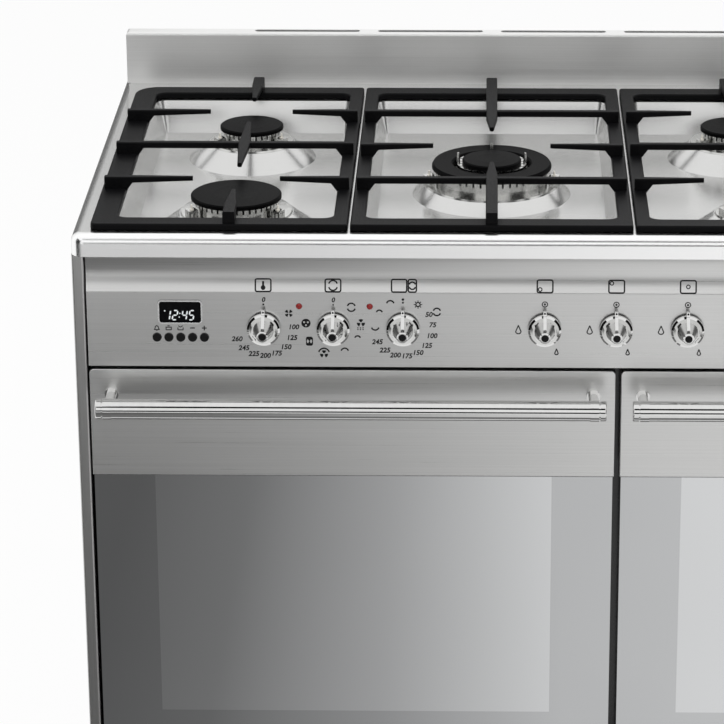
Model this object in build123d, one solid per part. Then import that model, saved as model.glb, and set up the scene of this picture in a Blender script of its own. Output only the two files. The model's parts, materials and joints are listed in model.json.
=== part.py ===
from build123d import *
from math import atan2, cos, degrees, hypot, radians, sin
import os

# Overall sizes in millimetres. X runs left to right, Y front to back, Z up from the floor.
# "Depth" is the distance behind the plane of the door faces; FRONT_Y puts the origin mid-depth.
WIDTH = 900.0
BODY_DEPTH = 600.0
HOB_Z = 900.0
BASE_Z = 100.0
SHEET = 1.2
BEND_R = 2.5
HALF = WIDTH / 2

# Fits and clearances
RUN_FIT = 0.05
FREE_GAP = 0.3
PANEL_GAP = 0.3
SIDE_GAP = 1.7

# Handle bars
HANDLE_R = 11.0
HANDLE_COLLAR_R = 11.4
HANDLE_STANDOFF = 45.0
HANDLE_INSET = 11.0
HANDLE_DROP = 28.5
CAP_LENGTH = 6.5
CAP_END_R = 1.6
GROOVE_LENGTH = 1.5
COLLAR_LENGTH = 9.5
GROOVE_R = 9.4
POST_R = 5.5
POST_FOOT_R = 7.5
POST_FOOT_T = 2.5

FRONT_Y = (HANDLE_STANDOFF + HANDLE_COLLAR_R - BODY_DEPTH) / 2

# Carcass
FLANGE = 13.0
FLANGE_RETURN = 14.0
REAR_INSET = 2.0
REAR_EDGE = BODY_DEPTH - REAR_INSET
BACK_INSET = 28.0
BACK_DEPTH = BODY_DEPTH - BACK_INSET
BACK_FLANGE = 20.0
TRAY_WALL = 30.0
TRAY_FRONT = 24.0
PLINTH_DEPTH = 50.0
PLINTH_FOOT = 12.0
PLINTH_RETURN = 28.0
PLINTH_INSET = 14.0
FOOT_SIDE_INSET = 55.0
FOOT_X = HALF - FOOT_SIDE_INSET
FOOT_FRONT = 112.0
FOOT_BACK_INSET = 60.0
FOOT_DEPTHS = (FOOT_FRONT, BODY_DEPTH - FOOT_BACK_INSET)
FOOT_PAD_R = 22.0
FOOT_PAD_H = 8.0
FOOT_STEM_R = 16.0
FOOT_STEM_H = 58.0
FOOT_SLEEVE_R = 20.0
FOOT_EDGE = 2.0
VENT_LENGTH = 70.0
VENT_WIDTH = 5.0
VENT_PITCH = 14.0
VENT_ROWS = 8
VENT_XS = (-210.0, 0.0, 210.0)
VENT_Z = 690.0

# Hob
LIP = 24.2
LIP_R = 10.0
HOB_CORNER_R = 14.0
HOB_OVERHANG = 8.0
RECESS_DROP = 37.0
RECESS_TAPER = 17.5
RECESS_CORNER_R = 15.0
RECESS_FRONT = 40.0
RECESS_BACK = 500.0
RECESS_SIDE = 46.0
RECESS_OUTER_X = HALF - RECESS_SIDE
RECESS_INNER_X = 163.0
RECESS_MIDDLE_X = 139.0
FLOOR_Z = HOB_Z - RECESS_DROP
UPSTAND_H = 64.0
UPSTAND_T = 21.0
UPSTAND_INSET = 4.0
UPSTAND_REAR = BODY_DEPTH - UPSTAND_INSET
UPSTAND_DEPTH = UPSTAND_REAR - UPSTAND_T
UPSTAND_HALF = HALF - UPSTAND_INSET
UPSTAND_EDGE_R = 4.0
VENT_SLOT = (128.0, 9.0)
VENT_SLOT_PITCH = 150.0
VENT_SLOTS = 4
FLUE_MARGIN = 5.0

# Burners: x, depth, cap radius, boss foot radius, port count
BURNER_OFFSET = 2.0
BURNER_X = (RECESS_OUTER_X + RECESS_INNER_X) / 2 - BURNER_OFFSET
BURNER_FRONT = 130.0
BURNER_BACK = 392.0
BURNER_MIDDLE = 258.0
BURNERS = {
    "rapid": (-BURNER_X, BURNER_FRONT, 50.0, 88.0, 40),
    "semi_left": (-BURNER_X, BURNER_BACK, 37.0, 74.5, 30),
    "semi_right": (BURNER_X, BURNER_BACK, 37.0, 74.5, 30),
    "auxiliary": (BURNER_X, BURNER_FRONT, 24.0, 62.0, 20),
}
BOSS_TOP_Z = HOB_Z - 18.0
BOSS_SHOULDER = 13.0
CUP_FLANGE = 12.0
CUP_FLANGE_T = 2.0
CUP_FLANGE_EDGE = 1.0
CUP_WALL_INSET = 9.0
CUP_BOTTOM_Z = HOB_Z - 66.0
CUP_HOLE_GAP = 1.0
JET_R = 7.0
JET_H = 14.0
CROWN_INSET = 4.0
CROWN_WALL = 7.0
CROWN_FOOT_H = 4.0
CROWN_FOOT_INSET = 2.0
PORT_WIDTH = 2.2
PORT_HEIGHT = 6.0
PORT_OVERCUT = 2.0
CAP_UNDER_Z = HOB_Z - 1.5
CAP_T = 5.5
CAP_EDGE_R = 1.8
CAP_SPIGOT = 3.0
LUG_REACH = 4.5
LUG_ANGLE = 60.0
LUG_SIZE = 11.0
LUG_FOOT_R = 6.5
LUG_TOP_Z = HOB_Z - 7.0
PROBE_R = 2.4
PROBE_TIP_R = 1.1
PROBE_SEAT = 5.0
PROBE_PROUD = 1.0
PROBE_TIP = 4.5
WOK_FOOT_R = 90.0
WOK_BOSS_R = 77.0
WOK_BOSS_Z = HOB_Z - 24.0
WOK_HOLE_R = 58.0
WOK_RING_R = 68.0
WOK_RING_BORE_R = 44.0
WOK_RING_TOP_Z = HOB_Z
WOK_CROWN_R = 64.0
WOK_CROWN_FOOT_R = 65.0
WOK_CAP_R = 33.5
WOK_CAP_TOP_Z = HOB_Z + 5.0
WOK_PORTS = 48
WOK_INNER_PORTS = 24
WOK_INNER_R = 39.5
HORN_R = 2.4
HORN_SPOT_R = 38.0
HORN_TOP_Z = HOB_Z + 11.0
HORNS = 4
WOK_LUG_ANGLES = (192.0, 348.0)
WOK_LUG_R = 72.5
WOK_LUG_TOP_Z = HOB_Z - 11.0

# Pan supports
SUPPORT_FRONT = 9.0
SUPPORT_BACK = 535.0
SUPPORT_INSET = 20.0
SUPPORT_OUTER_X = HALF - SUPPORT_INSET
SUPPORT_SPLIT_X = 153.0
SUPPORT_GAP = 2.6
PAD_T = 0.8
PAD_R = 4.0
PAD_INSET = 9.0
FRAME_T = 6.5
FRAME_OUTER_BAR = 27.0
FRAME_INNER_BAR = 16.0
FRAME_FRONT_BAR = 25.0
FRAME_BACK_BAR = 27.0
FRAME_WINDOW_R = 12.0
FRAME_EDGE_R = 2.4
FRAME_BIG_R = 28.0
FRAME_SMALL_R = 8.0
FRAME_SPLIT_R = 3.5
RIB_TOP_Z = HOB_Z + 20.5
RIB_BAR_W = 9.0
RIB_BAR_H = 7.0
RIB_TIP_W = 5.0
RIB_TIP_H = 5.0
RIB_EDGE_R = 1.6
RIB_END_GAP = 3.0
RIB_HAUNCH = 7.0
CROSS_W = 14.0
LONG_W = 13.0
LONG_NECK = 46.0
FINGER_FRONT = 137.0
FINGER_BACK = 394.0
SPAN_RIB_DEPTH = 266.0
RIB_REACH = 48.0
SPAN_TIP = 80.0
FRONT_TIP = 92.0
BACK_TIP = 444.0
WOK_SPAN_DEPTHS = (137.0, 394.0)
WOK_FINGER_DEPTH = 262.0
WOK_SIDE_TIP = 66.5
WOK_FRONT_TIP = 194.0
WOK_BACK_TIP = 326.0

# Control panel
PANEL_HALF = HALF - FLANGE - SIDE_GAP
PANEL_TOP = 873.7
PANEL_BOTTOM = 748.6
PANEL_CREASE = 834.0
GROOVE_SAG = 4.0
CREASE_R = 4.0
PANEL_EDGE_R = 1.0
PANEL_TOP_RETURN = 26.0

# Knobs
KNOB_Z = 793.0
OVEN_KNOBS = 3
OVEN_KNOB_INSET = 190.3
OVEN_KNOB_PITCH = 75.0
OVEN_KNOB_XS = [OVEN_KNOB_INSET - PANEL_HALF + i * OVEN_KNOB_PITCH for i in range(OVEN_KNOBS)]
BURNER_KNOB_X = 57.5
BURNER_KNOB_PITCH = 76.75
BURNER_KNOBS = 5
KNOB_R = 17.8
KNOB_GAP = 3.6
KNOB_RING_H = 5.2
KNOB_BODY_R = 13.2
KNOB_WAIST_R = 9.2
KNOB_WAIST_H = 19.0
KNOB_NOSE_R = 6.0
KNOB_HEIGHT = 30.0
KNOB_INSERT_R = 4.2
KNOB_INSERT_DEPTH = 0.8
KNOB_EDGE = 1.0
FIN_T = 3.4
FIN_TIP = 23.6
FIN_TIP_R = 1.6
FIN_FOOT = 1.5
FIN_DROP = 2.0
STEM_R = 4.0
STEM_END = 22.0
STEM_HOLE_R = 6.0
PUSH_TRAVEL = 3.0
PLUNGER_R = 5.5
PLUNGER_LENGTH = 12.0
TAP_NOSE_R = 8.0
TAP_NOSE_DEPTH = 13.0
TAP_SHOULDER = 20.0
TAP_R = 13.0
TAP_END = 52.0
TAP_NECK_R = 7.5
TAP_OUTLET_R = 5.0
TAP_OUTLET_LENGTH = 12.0
SPRING_ROOM = 4.0
CONTROL_SIZE = (46.0, 44.0, 34.0)
CONTROL_EDGE_R = 6.0

# Gas rail
RAIL_R = 9.0
RAIL_DEPTH = 44.0
RAIL_Z = 767.0
RAIL_LEFT = 30.0
RAIL_INSET = 30.0
RAIL_RIGHT_X = HALF - RAIL_INSET
RUN_R = 8.0
ELBOW_R = 10.5
RAIL_BRACKET = 14.0
RAIL_BRACKET_SET = 2.0
INLET_R = 10.48
INLET_BORE_R = 7.0
INLET_BORE_LENGTH = 20.0
INLET_LENGTH = 24.0
INLET_REACH = 18.0

# Clock
CLOCK_INSET = 100.5
CLOCK_X = CLOCK_INSET - PANEL_HALF
CLOCK_Z = 811.0
CLOCK_SIZE = (48.0, 27.0)
CLOCK_CORNER_R = 4.0
CLOCK_BEZEL = 2.0
CLOCK_PROUD = 1.0
CLOCK_HOUSING = (76.0, 62.0, 30.0)
CLOCK_HOUSING_Z = 800.0
WINDOW_T = 2.0
BUTTON_PITCH = 12.8
BUTTON_Z = 782.0
BUTTON_R = 4.7
BUTTON_PROUD = 2.4
BUTTON_EDGE_R = 0.8
BUTTON_FLANGE_R = 5.8
BUTTON_FLANGE_T = 1.2
BUTTON_TRAVEL = 1.5
BUTTON_LENGTH = 9.0
BUTTONS = 5
LAMP_OFFSETS = (38.3, 39.3)
LAMP_XS = [x + offset for x, offset in zip(OVEN_KNOB_XS, LAMP_OFFSETS)]
LAMP_Z = 818.0
LAMP_R = 3.2
LAMP_FLANGE_R = 5.0
LAMP_PROUD = 1.6
LAMP_LENGTH = 18.0

# Doors: each is given by its left and right edge
DOOR_TOP = 744.6
DOOR_BOTTOM = 255.0
DOOR_GAP = 6.0
DOOR_SPLIT_X = 137.9
DOOR_MAIN = (-PANEL_HALF, DOOR_SPLIT_X - DOOR_GAP / 2)
DOOR_AUX = (DOOR_SPLIT_X + DOOR_GAP / 2, PANEL_HALF)
STRIP_BOTTOM = 621.0
STRIP_CORNER_R = 5.0
STRIP_EDGE_R = 1.0
STRIP_RETURN = 30.0
DOOR_T = 36.0
GLASS_FRONT = 0.8
GLASS_T = 5.0
GLASS_SIDE = 1.5
CHASSIS_WALL = 1.5
DOOR_WINDOW_BORDER = 68.0
DOOR_WINDOW_BOTTOM = 335.0
DOOR_WINDOW_TOP = 600.0
INNER_GLASS_T = 4.0
INNER_GLASS_LAP = 14.0
HINGE_DEPTH = 12.0
HINGE_RISE = 16.0
HINGE_INSET = 46.0
HINGE_PIN_R = 4.0
HINGE_PIN_LENGTH = 26.0
HINGE_ARM_T = 6.0
HINGE_ARM_H = 11.0
HINGE_ARM_TAIL = 78.0
HINGE_HOUSING = (34.0, 34.0)
HINGE_SLOT_GAP = 1.0

# Ovens
FRAME_DEPTH = 42.0
FRAME_BOTTOM = 246.0
FRAME_TOP = 754.0
FRAME_SHELF = 66.0
FRAME_SILL = 40.0
OVEN_BOTTOM = 312.0
OVEN_TOP = 640.0
OVEN_BACK = 455.0
OVEN_CORNER_R = 18.0
OVEN_LIP = 16.0
MAIN_HALF = 230.0
AUX_HALF = 105.0
WOOL_T = 24.0
WOOL_FRONT = 48.0
SEAL_WIDTH = 8.0
SEAL_OFFSET = 4.0
SEAL_EDGE_R = 1.8
RACK_WIRE_R = 2.5
RACK_POST_GAP = 5.0
RACK_WALL_GAP = 9.3
SHELF_WALL_GAP = 10.8
RACK_FRONT = 95.0
RACK_BACK = 385.0
RACK_LOW = 345.0
RACK_LEVEL_PITCH = 56.0
RACK_LEVELS = 5
RACK_PAIR = 15.0
SHELF_LEVEL = 2
SHELF_RAIL_R = 3.0
SHELF_BAR_R = 1.75
SHELF_FRONT = 70.0
SHELF_BACK = 392.0
SHELF_BAR_PITCH = 30.0
GRILL_R = 3.5
GRILL_Z = OVEN_TOP - 24.0
GRILL_FRONT = 105.0
GRILL_BEND = 14.0
GRILL_PITCH = 52.0
GRILL_LOOPS = (3, 1)
RING_R = 88.0
RING_DEPTH = 428.0
RING_GAP_ANGLE = 25.0
FAN_Z = 472.0
FAN_R = 68.0
FAN_HUB_R = 13.0
FAN_BLADES = 9
FAN_BLADE_START_R = 16.0
FAN_BLADE_ANGLE = 25.0
FAN_RIM_GAP = 1.0
FAN_HUB_GAP = 1.0
FAN_NUT_H = 2.0
FAN_DEPTHS = (422.0, 446.0)
FAN_SHAFT_R = 4.0
FAN_SHAFT_END = 492.0
COVER_DEPTH = 408.0
COVER_MARGIN = 14.0
COVER_HOLE_R = 4.0
COVER_RINGS = ((0, 1), (16, 6), (32, 12), (48, 18), (64, 24))
COVER_SIDE_SLOTS = 7
COVER_SLOT = (5.0, 26.0)
COVER_SLOT_GAP = 12.0
COVER_SLOT_INSET = 24.0
COVER_TOP_GAP = 14.0
MOTOR_R = 36.0
MOTOR_END = 505.0
MOTOR_FLANGE_R = 46.0
MOTOR_FLANGE_T = 2.0
OVEN_LAMP_R = 17.0
OVEN_LAMP_DROP = 11.0
OVEN_LAMP_FLAT_R = 9.0
OVEN_LAMP_RIM = 3.0
OVEN_LAMP_BODY_R = 13.0
OVEN_LAMP_BODY_H = 34.0
OVEN_LAMP_DEPTH = 335.0
OVEN_LAMP_SIDE = 40.0

# Drawer
DRAWER_TOP = 248.0
DRAWER_BOTTOM = 108.0
DRAWER_FRONT_T = 18.0
DRAWER_EDGE_R = 1.0
DRAWER_INSET = 45.0
DRAWER_HALF = HALF - DRAWER_INSET
DRAWER_BACK = 520.0
DRAWER_TRAY_BOTTOM = 118.0
DRAWER_TRAY_TOP = 212.0
DRAWER_RIM = 14.0
RUNNER_LEDGE = 3.0
RUNNER_INSET = 25.0
RUNNER_WEB_X = HALF - RUNNER_INSET
RUNNER_FRONT = 30.0
RUNNER_TAIL = 12.0
RUNNER_BACK = BACK_DEPTH - RUNNER_TAIL
GRIP_LENGTH = 300.0
GRIP_DROP = 11.0
GRIP_MARGIN = 2.4

# Mains terminal box on the back
TERMINAL_INSET = 120.0
TERMINAL_X = TERMINAL_INSET - HALF
TERMINAL_Z = 775.0
TERMINAL_SIZE = (90.0, 64.0, 22.0)
TERMINAL_EDGE_R = 2.5
GLAND_R = 10.0
GLAND_BORE_R = 5.0
GLAND_LENGTH = 16.0

INNER_X = HALF - SHEET
PANEL_INNER = SHEET
FRAME_BACK = FRAME_DEPTH + SHEET
MAIN_X = (DOOR_MAIN[0] + DOOR_MAIN[1]) / 2
AUX_X = (DOOR_AUX[0] + DOOR_AUX[1]) / 2
OVENS = ((MAIN_X, MAIN_HALF), (AUX_X, AUX_HALF))
OVEN_Z = (OVEN_TOP + OVEN_BOTTOM) / 2
OVEN_H = OVEN_TOP - OVEN_BOTTOM
HINGE_Z = DOOR_BOTTOM + HINGE_RISE
BURNER_KNOB_XS = [BURNER_KNOB_X + i * BURNER_KNOB_PITCH for i in range(BURNER_KNOBS)]
FRAME_LOW_Z = HOB_Z + PAD_T
RIB_FOOT_H = RIB_TOP_Z - FRAME_LOW_Z - FRAME_T / 2


def fy(depth):
    """Y of a depth behind the door faces."""
    return FRONT_Y + depth


def block(x0, x1, d0, d1, z0, z1):
    """Box between two x, two depths and two heights."""
    return Pos((x0 + x1) / 2, fy((d0 + d1) / 2), (z0 + z1) / 2) * Box(x1 - x0, d1 - d0, z1 - z0)


def facing(x, depth, z):
    """Frame on a front surface: local x to the right, y up, z out towards the user."""
    return Pos(x, fy(depth), z) * Rot(90, 0, 0)


def standing(x, depth, z):
    """Upright frame on the hob or the floor."""
    return Pos(x, fy(depth), z)


def turned(*points):
    """Solid of revolution of a radius-height outline about the local z axis."""
    return revolve(Plane.XZ * make_face(Polyline(*points, close=True)), Axis.Z)


def rod_x(radius, x0, x1, depth, z):
    """Round bar along X."""
    return Pos((x0 + x1) / 2, fy(depth), z) * Rot(0, 90, 0) * Cylinder(radius, x1 - x0)


def rod_y(radius, d0, d1, x, z):
    """Round bar along Y."""
    return Pos(x, fy((d0 + d1) / 2), z) * Rot(90, 0, 0) * Cylinder(radius, d1 - d0)


def rod_z(radius, x, depth, z0, z1):
    """Round bar along Z."""
    return Pos(x, fy(depth), (z0 + z1) / 2) * Cylinder(radius, z1 - z0)


def folded(points, x0, x1, side=Side.LEFT):
    """Sheet bent along depth-height points and drawn out from x0 to x1."""
    line = FilletPolyline(*[(fy(d), z) for d, z in points], radius=BEND_R)
    return Pos(x0, 0, 0) * extrude(Plane.YZ * make_face(offset(line, SHEET, side=side)), x1 - x0)


def tube(points, radius, bend):
    """Round rod bent through x-depth-height points with one bend radius."""
    path = FilletPolyline(*[(x, fy(d), z) for x, d, z in points], radius=bend)
    return sweep(Plane(path @ 0, z_dir=path % 0) * Circle(radius), path)


def side_panels():
    """Two outer walls, each folded in at the front with a return and at the back."""
    edge = HALF - FLANGE
    plan = FilletPolyline(
        (edge, fy(FLANGE_RETURN)), (edge, fy(0)), (HALF, fy(0)),
        (HALF, fy(REAR_EDGE)), (edge, fy(REAR_EDGE)), radius=BEND_R)
    sheet = make_face(offset(plan, SHEET, side=Side.LEFT))
    right = Pos(0, 0, BASE_Z) * extrude(sheet, HOB_Z - LIP - BASE_Z)
    return [mirror(right, about=Plane.YZ), right]


def back_panel():
    """Rear wall with side flanges, cooling louvres and clearance for the gas inlet."""
    plan = FilletPolyline(
        (-INNER_X, fy(BACK_DEPTH + BACK_FLANGE)), (-INNER_X, fy(BACK_DEPTH)),
        (INNER_X, fy(BACK_DEPTH)), (INNER_X, fy(BACK_DEPTH + BACK_FLANGE)), radius=BEND_R)
    wall = extrude(make_face(offset(plan, SHEET, side=Side.LEFT)), HOB_Z - LIP - BASE_Z)
    slot = extrude(SlotOverall(VENT_LENGTH, VENT_WIDTH), BACK_FLANGE, both=True)
    rows = [VENT_Z - i * VENT_PITCH for i in range(VENT_ROWS)]
    slots = [facing(x, BACK_DEPTH, z) * slot for x in VENT_XS for z in rows]
    inlet = rod_y(INLET_R + CUP_HOLE_GAP, BACK_DEPTH - BACK_FLANGE, BODY_DEPTH, RAIL_RIGHT_X, RAIL_Z)
    return [Pos(0, 0, BASE_Z) * wall - slots - inlet]


def base_tray():
    """Floor pan of the body with three upturned walls and the two drawer runners."""
    floor = block(-INNER_X, INNER_X, TRAY_FRONT, BACK_DEPTH, BASE_Z, BASE_Z + TRAY_WALL)
    room = block(-INNER_X + SHEET, INNER_X - SHEET, 0, BACK_DEPTH - SHEET, BASE_Z + SHEET, HOB_Z)
    pan = floor - room
    ledge_z = DRAWER_TRAY_TOP - SHEET - FREE_GAP
    ledge_x = DRAWER_HALF + RUNNER_LEDGE
    for sign in (-1, 1):
        outer, inner = sign * RUNNER_WEB_X, sign * (RUNNER_WEB_X - SHEET)
        pan += block(min(outer, inner), max(outer, inner), RUNNER_FRONT, RUNNER_BACK, BASE_Z, ledge_z)
        ledge = sign * ledge_x
        pan += block(min(outer, ledge), max(outer, ledge), RUNNER_FRONT, RUNNER_BACK,
                     ledge_z - SHEET, ledge_z)
    return [pan]


def plinth():
    """Kick plate under the drawer, turned back at top and bottom."""
    return [folded(
        [(PLINTH_DEPTH + PLINTH_RETURN, BASE_Z), (PLINTH_DEPTH, BASE_Z), (PLINTH_DEPTH, PLINTH_FOOT),
         (PLINTH_DEPTH + PLINTH_FOOT, PLINTH_FOOT)], -HALF + PLINTH_INSET, HALF - PLINTH_INSET)]


def levelling_feet():
    """Four screw feet: floor pad, adjusting leg and the fixed sleeve that it turns in."""
    foot = turned((0, 0), (FOOT_PAD_R - FOOT_EDGE, 0), (FOOT_PAD_R, FOOT_EDGE),
                  (FOOT_PAD_R, FOOT_PAD_H - FOOT_EDGE), (FOOT_PAD_R - FOOT_EDGE, FOOT_PAD_H),
                  (FOOT_STEM_R, FOOT_PAD_H), (FOOT_STEM_R, FOOT_STEM_H),
                  (FOOT_SLEEVE_R - FOOT_EDGE, FOOT_STEM_H), (FOOT_SLEEVE_R, FOOT_STEM_H + FOOT_EDGE),
                  (FOOT_SLEEVE_R, BASE_Z), (0, BASE_Z))
    return [standing(sx * FOOT_X, d, 0) * foot for sx in (-1, 1) for d in FOOT_DEPTHS]


def recess(x0, x1, grow):
    """Tapered well of the hob, grown by the sheet thickness for its underside."""
    width, length = x1 - x0 + 2 * grow, RECESS_BACK - RECESS_FRONT + 2 * grow
    plan = RectangleRounded(width, length, RECESS_CORNER_R + grow)
    well = extrude(plan, -RECESS_DROP - grow, taper=RECESS_TAPER)
    return standing((x0 + x1) / 2, (RECESS_FRONT + RECESS_BACK) / 2, HOB_Z) * well


def boss(foot_r, top_r, top_z, hole_r):
    """Pressed cone that lifts a burner off the recess floor, one sheet thick."""
    drop = FLOOR_Z - top_z
    return turned((foot_r, drop - SHEET), (top_r, -SHEET), (hole_r, -SHEET), (hole_r, 0), (top_r, 0),
                  (foot_r, drop), (foot_r + BEND_R, drop), (foot_r + BEND_R, drop - SHEET))


def rim(inset):
    """Block of the worktop drawn in by an inset, rolled over at the front and the sides."""
    front, rear = inset - HOB_OVERHANG, BODY_DEPTH - inset
    plan = Pos(0, fy((front + rear) / 2)) * Rectangle(WIDTH - 2 * inset, rear - front)
    plan = fillet(plan.vertices().group_by(Axis.Y)[0], HOB_CORNER_R - inset)
    body = Pos(0, 0, HOB_Z - LIP) * extrude(plan, LIP - inset)
    rolled = body.faces().sort_by(Axis.Z)[-1].edges().sort_by(Axis.Y)[:-1]
    return fillet(rolled, LIP_R - inset)


def hob_top():
    """Pressed worktop: rolled rim, three wells, a boss under each burner and the flue opening."""
    spans = ((-RECESS_OUTER_X, -RECESS_INNER_X), (-RECESS_MIDDLE_X, RECESS_MIDDLE_X),
             (RECESS_INNER_X, RECESS_OUTER_X))
    top = rim(0) - rim(SHEET)
    top += [recess(x0, x1, SHEET) for x0, x1 in spans]
    top -= [recess(x0, x1, 0) for x0, x1 in spans]
    for x, depth, cap_r, foot_r, ports in BURNERS.values():
        top_r = cap_r + BOSS_SHOULDER
        top -= rod_z(foot_r, x, depth, FLOOR_Z - SHEET, FLOOR_Z)
        hole_r = cap_r - CUP_WALL_INSET + CUP_HOLE_GAP
        top += standing(x, depth, BOSS_TOP_Z) * boss(foot_r, top_r, BOSS_TOP_Z, hole_r)
    top -= rod_z(WOK_FOOT_R, 0, BURNER_MIDDLE, FLOOR_Z - SHEET, FLOOR_Z)
    top += standing(0, BURNER_MIDDLE, WOK_BOSS_Z) * boss(WOK_FOOT_R, WOK_BOSS_R, WOK_BOSS_Z, WOK_HOLE_R)
    flue_half = VENT_SLOTS * VENT_SLOT_PITCH / 2
    flue_back = UPSTAND_REAR - FLUE_MARGIN
    return [top - block(-flue_half, flue_half, UPSTAND_DEPTH + FLUE_MARGIN, flue_back, HOB_Z - LIP, HOB_Z)]


def upstand():
    """Folded rear upstand with the oven vent slots in its top."""
    top_z = HOB_Z + UPSTAND_H
    shell = block(-UPSTAND_HALF, UPSTAND_HALF, UPSTAND_DEPTH, UPSTAND_REAR, HOB_Z, top_z)
    shell = fillet(shell.faces().sort_by(Axis.Z)[-1].edges(), UPSTAND_EDGE_R)
    room = block(-UPSTAND_HALF + SHEET, UPSTAND_HALF - SHEET,
                 UPSTAND_DEPTH + SHEET, UPSTAND_REAR - SHEET, HOB_Z, top_z - SHEET)
    shell -= fillet(room.faces().sort_by(Axis.Z)[-1].edges(), UPSTAND_EDGE_R - SHEET)
    slot = extrude(SlotOverall(*VENT_SLOT), UPSTAND_H / 2, both=True)
    middle = (UPSTAND_DEPTH + UPSTAND_REAR) / 2
    xs = [(i - (VENT_SLOTS - 1) / 2) * VENT_SLOT_PITCH for i in range(VENT_SLOTS)]
    return [shell - [standing(x, middle, top_z) * slot for x in xs]]


def control_panel():
    """Folded fascia: flat face, concave groove along the top, returns and closed ends."""
    groove_mid = (PANEL_CREASE + PANEL_TOP) / 2
    low, crease, high = (fy(0), PANEL_BOTTOM), (fy(0), PANEL_CREASE), (fy(0), PANEL_TOP)
    groove = ThreePointArc(crease, (fy(GROOVE_SAG), groove_mid), high)
    sill, brow = (fy(FRAME_DEPTH), PANEL_BOTTOM), (fy(PANEL_TOP_RETURN), PANEL_TOP)
    outline = Curve() + [Line(sill, low), Line(low, crease), groove, Line(high, brow)]
    filled = make_face(outline + Polyline(brow, (fy(PANEL_TOP_RETURN), PANEL_CREASE), sill))
    sheet = make_face(offset(Wire(outline.edges()), SHEET, side=Side.RIGHT, kind=Kind.INTERSECTION))
    shell = Pos(-PANEL_HALF, 0, 0) * extrude(Plane.YZ * sheet, 2 * PANEL_HALF)
    face_lines = shell.edges().filter_by(Axis.X).group_by(Axis.Y)[0].sort_by(Axis.Z)
    shell = fillet(face_lines[1], CREASE_R)
    shell = fillet(shell.edges().filter_by(Axis.X).group_by(Axis.Y)[0].sort_by(Axis.Z)[-1], PANEL_EDGE_R)
    cheek = extrude(Plane.YZ * filled, SHEET)
    shell += [Pos(-PANEL_HALF, 0, 0) * cheek, Pos(PANEL_HALF - SHEET, 0, 0) * cheek]
    holes = [rod_y(STEM_HOLE_R, -SHEET, 2 * SHEET, x, KNOB_Z) for x in (*OVEN_KNOB_XS, *BURNER_KNOB_XS)]
    holes += [rod_y(LAMP_R + PANEL_GAP, -SHEET, 2 * SHEET, x, LAMP_Z) for x in LAMP_XS]
    holes += [rod_y(BUTTON_R + PANEL_GAP, -SHEET, 2 * SHEET, x, BUTTON_Z) for x in button_xs()]
    bezel = extrude(RectangleRounded(*CLOCK_SIZE, CLOCK_CORNER_R), 2 * SHEET, both=True)
    holes.append(facing(CLOCK_X, 0, CLOCK_Z) * bezel)
    return [shell - holes]


def button_xs():
    """Centres of the clock buttons."""
    return [CLOCK_X + (i - (BUTTONS - 1) / 2) * BUTTON_PITCH for i in range(BUTTONS)]


def clock_module():
    """Clock housing behind the fascia with its bezel through it, and the display window."""
    width, height, depth = CLOCK_HOUSING
    box = block(CLOCK_X - width / 2, CLOCK_X + width / 2, PANEL_INNER, PANEL_INNER + depth,
                CLOCK_HOUSING_Z - height / 2, CLOCK_HOUSING_Z + height / 2)
    wide, tall = CLOCK_SIZE
    place = facing(CLOCK_X, PANEL_INNER, CLOCK_Z)
    box += place * extrude(RectangleRounded(wide, tall, CLOCK_CORNER_R), PANEL_INNER + CLOCK_PROUD)
    opening = RectangleRounded(wide - 2 * CLOCK_BEZEL, tall - 2 * CLOCK_BEZEL, CLOCK_CORNER_R - CLOCK_BEZEL)
    box -= place * extrude(opening, PANEL_INNER + CLOCK_PROUD)
    counterbore = BUTTON_FLANGE_T + BUTTON_TRAVEL + 2 * FREE_GAP
    stroke = BUTTON_LENGTH + BUTTON_TRAVEL + FREE_GAP
    for x in button_xs():
        box -= rod_y(BUTTON_FLANGE_R + FREE_GAP, PANEL_INNER, PANEL_INNER + counterbore, x, BUTTON_Z)
        box -= rod_y(BUTTON_R + FREE_GAP, PANEL_INNER, PANEL_INNER + stroke, x, BUTTON_Z)
    window = place * extrude(opening, WINDOW_T - SHEET)
    return [box, window]


def timer_button(x):
    """Round push button with a retaining flange behind the fascia."""
    back = PANEL_INNER + BUTTON_LENGTH
    flange = PANEL_INNER + FREE_GAP
    rear = flange + BUTTON_FLANGE_T
    domed = turned((0, -back), (BUTTON_R, -back), (BUTTON_R, -rear), (BUTTON_FLANGE_R, -rear),
                   (BUTTON_FLANGE_R, -flange), (BUTTON_R, -flange), (BUTTON_R, BUTTON_PROUD),
                   (0, BUTTON_PROUD))
    return [facing(x, 0, BUTTON_Z) * fillet(domed.edges().sort_by(Axis.Z)[-1], BUTTON_EDGE_R)]


def indicator_lamps():
    """Two red jewel lamps pushed through the fascia from behind."""
    jewel = turned((0, -PANEL_INNER - LAMP_LENGTH), (LAMP_R, -PANEL_INNER - LAMP_LENGTH),
                   (LAMP_R, -PANEL_INNER - LAMP_R), (LAMP_FLANGE_R, -PANEL_INNER - LAMP_R),
                   (LAMP_FLANGE_R, -PANEL_INNER), (LAMP_R, -PANEL_INNER), (LAMP_R, LAMP_PROUD / 2),
                   (LAMP_R / 2, LAMP_PROUD), (0, LAMP_PROUD))
    return [facing(x, 0, LAMP_Z) * jewel for x in LAMP_XS]


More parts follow.
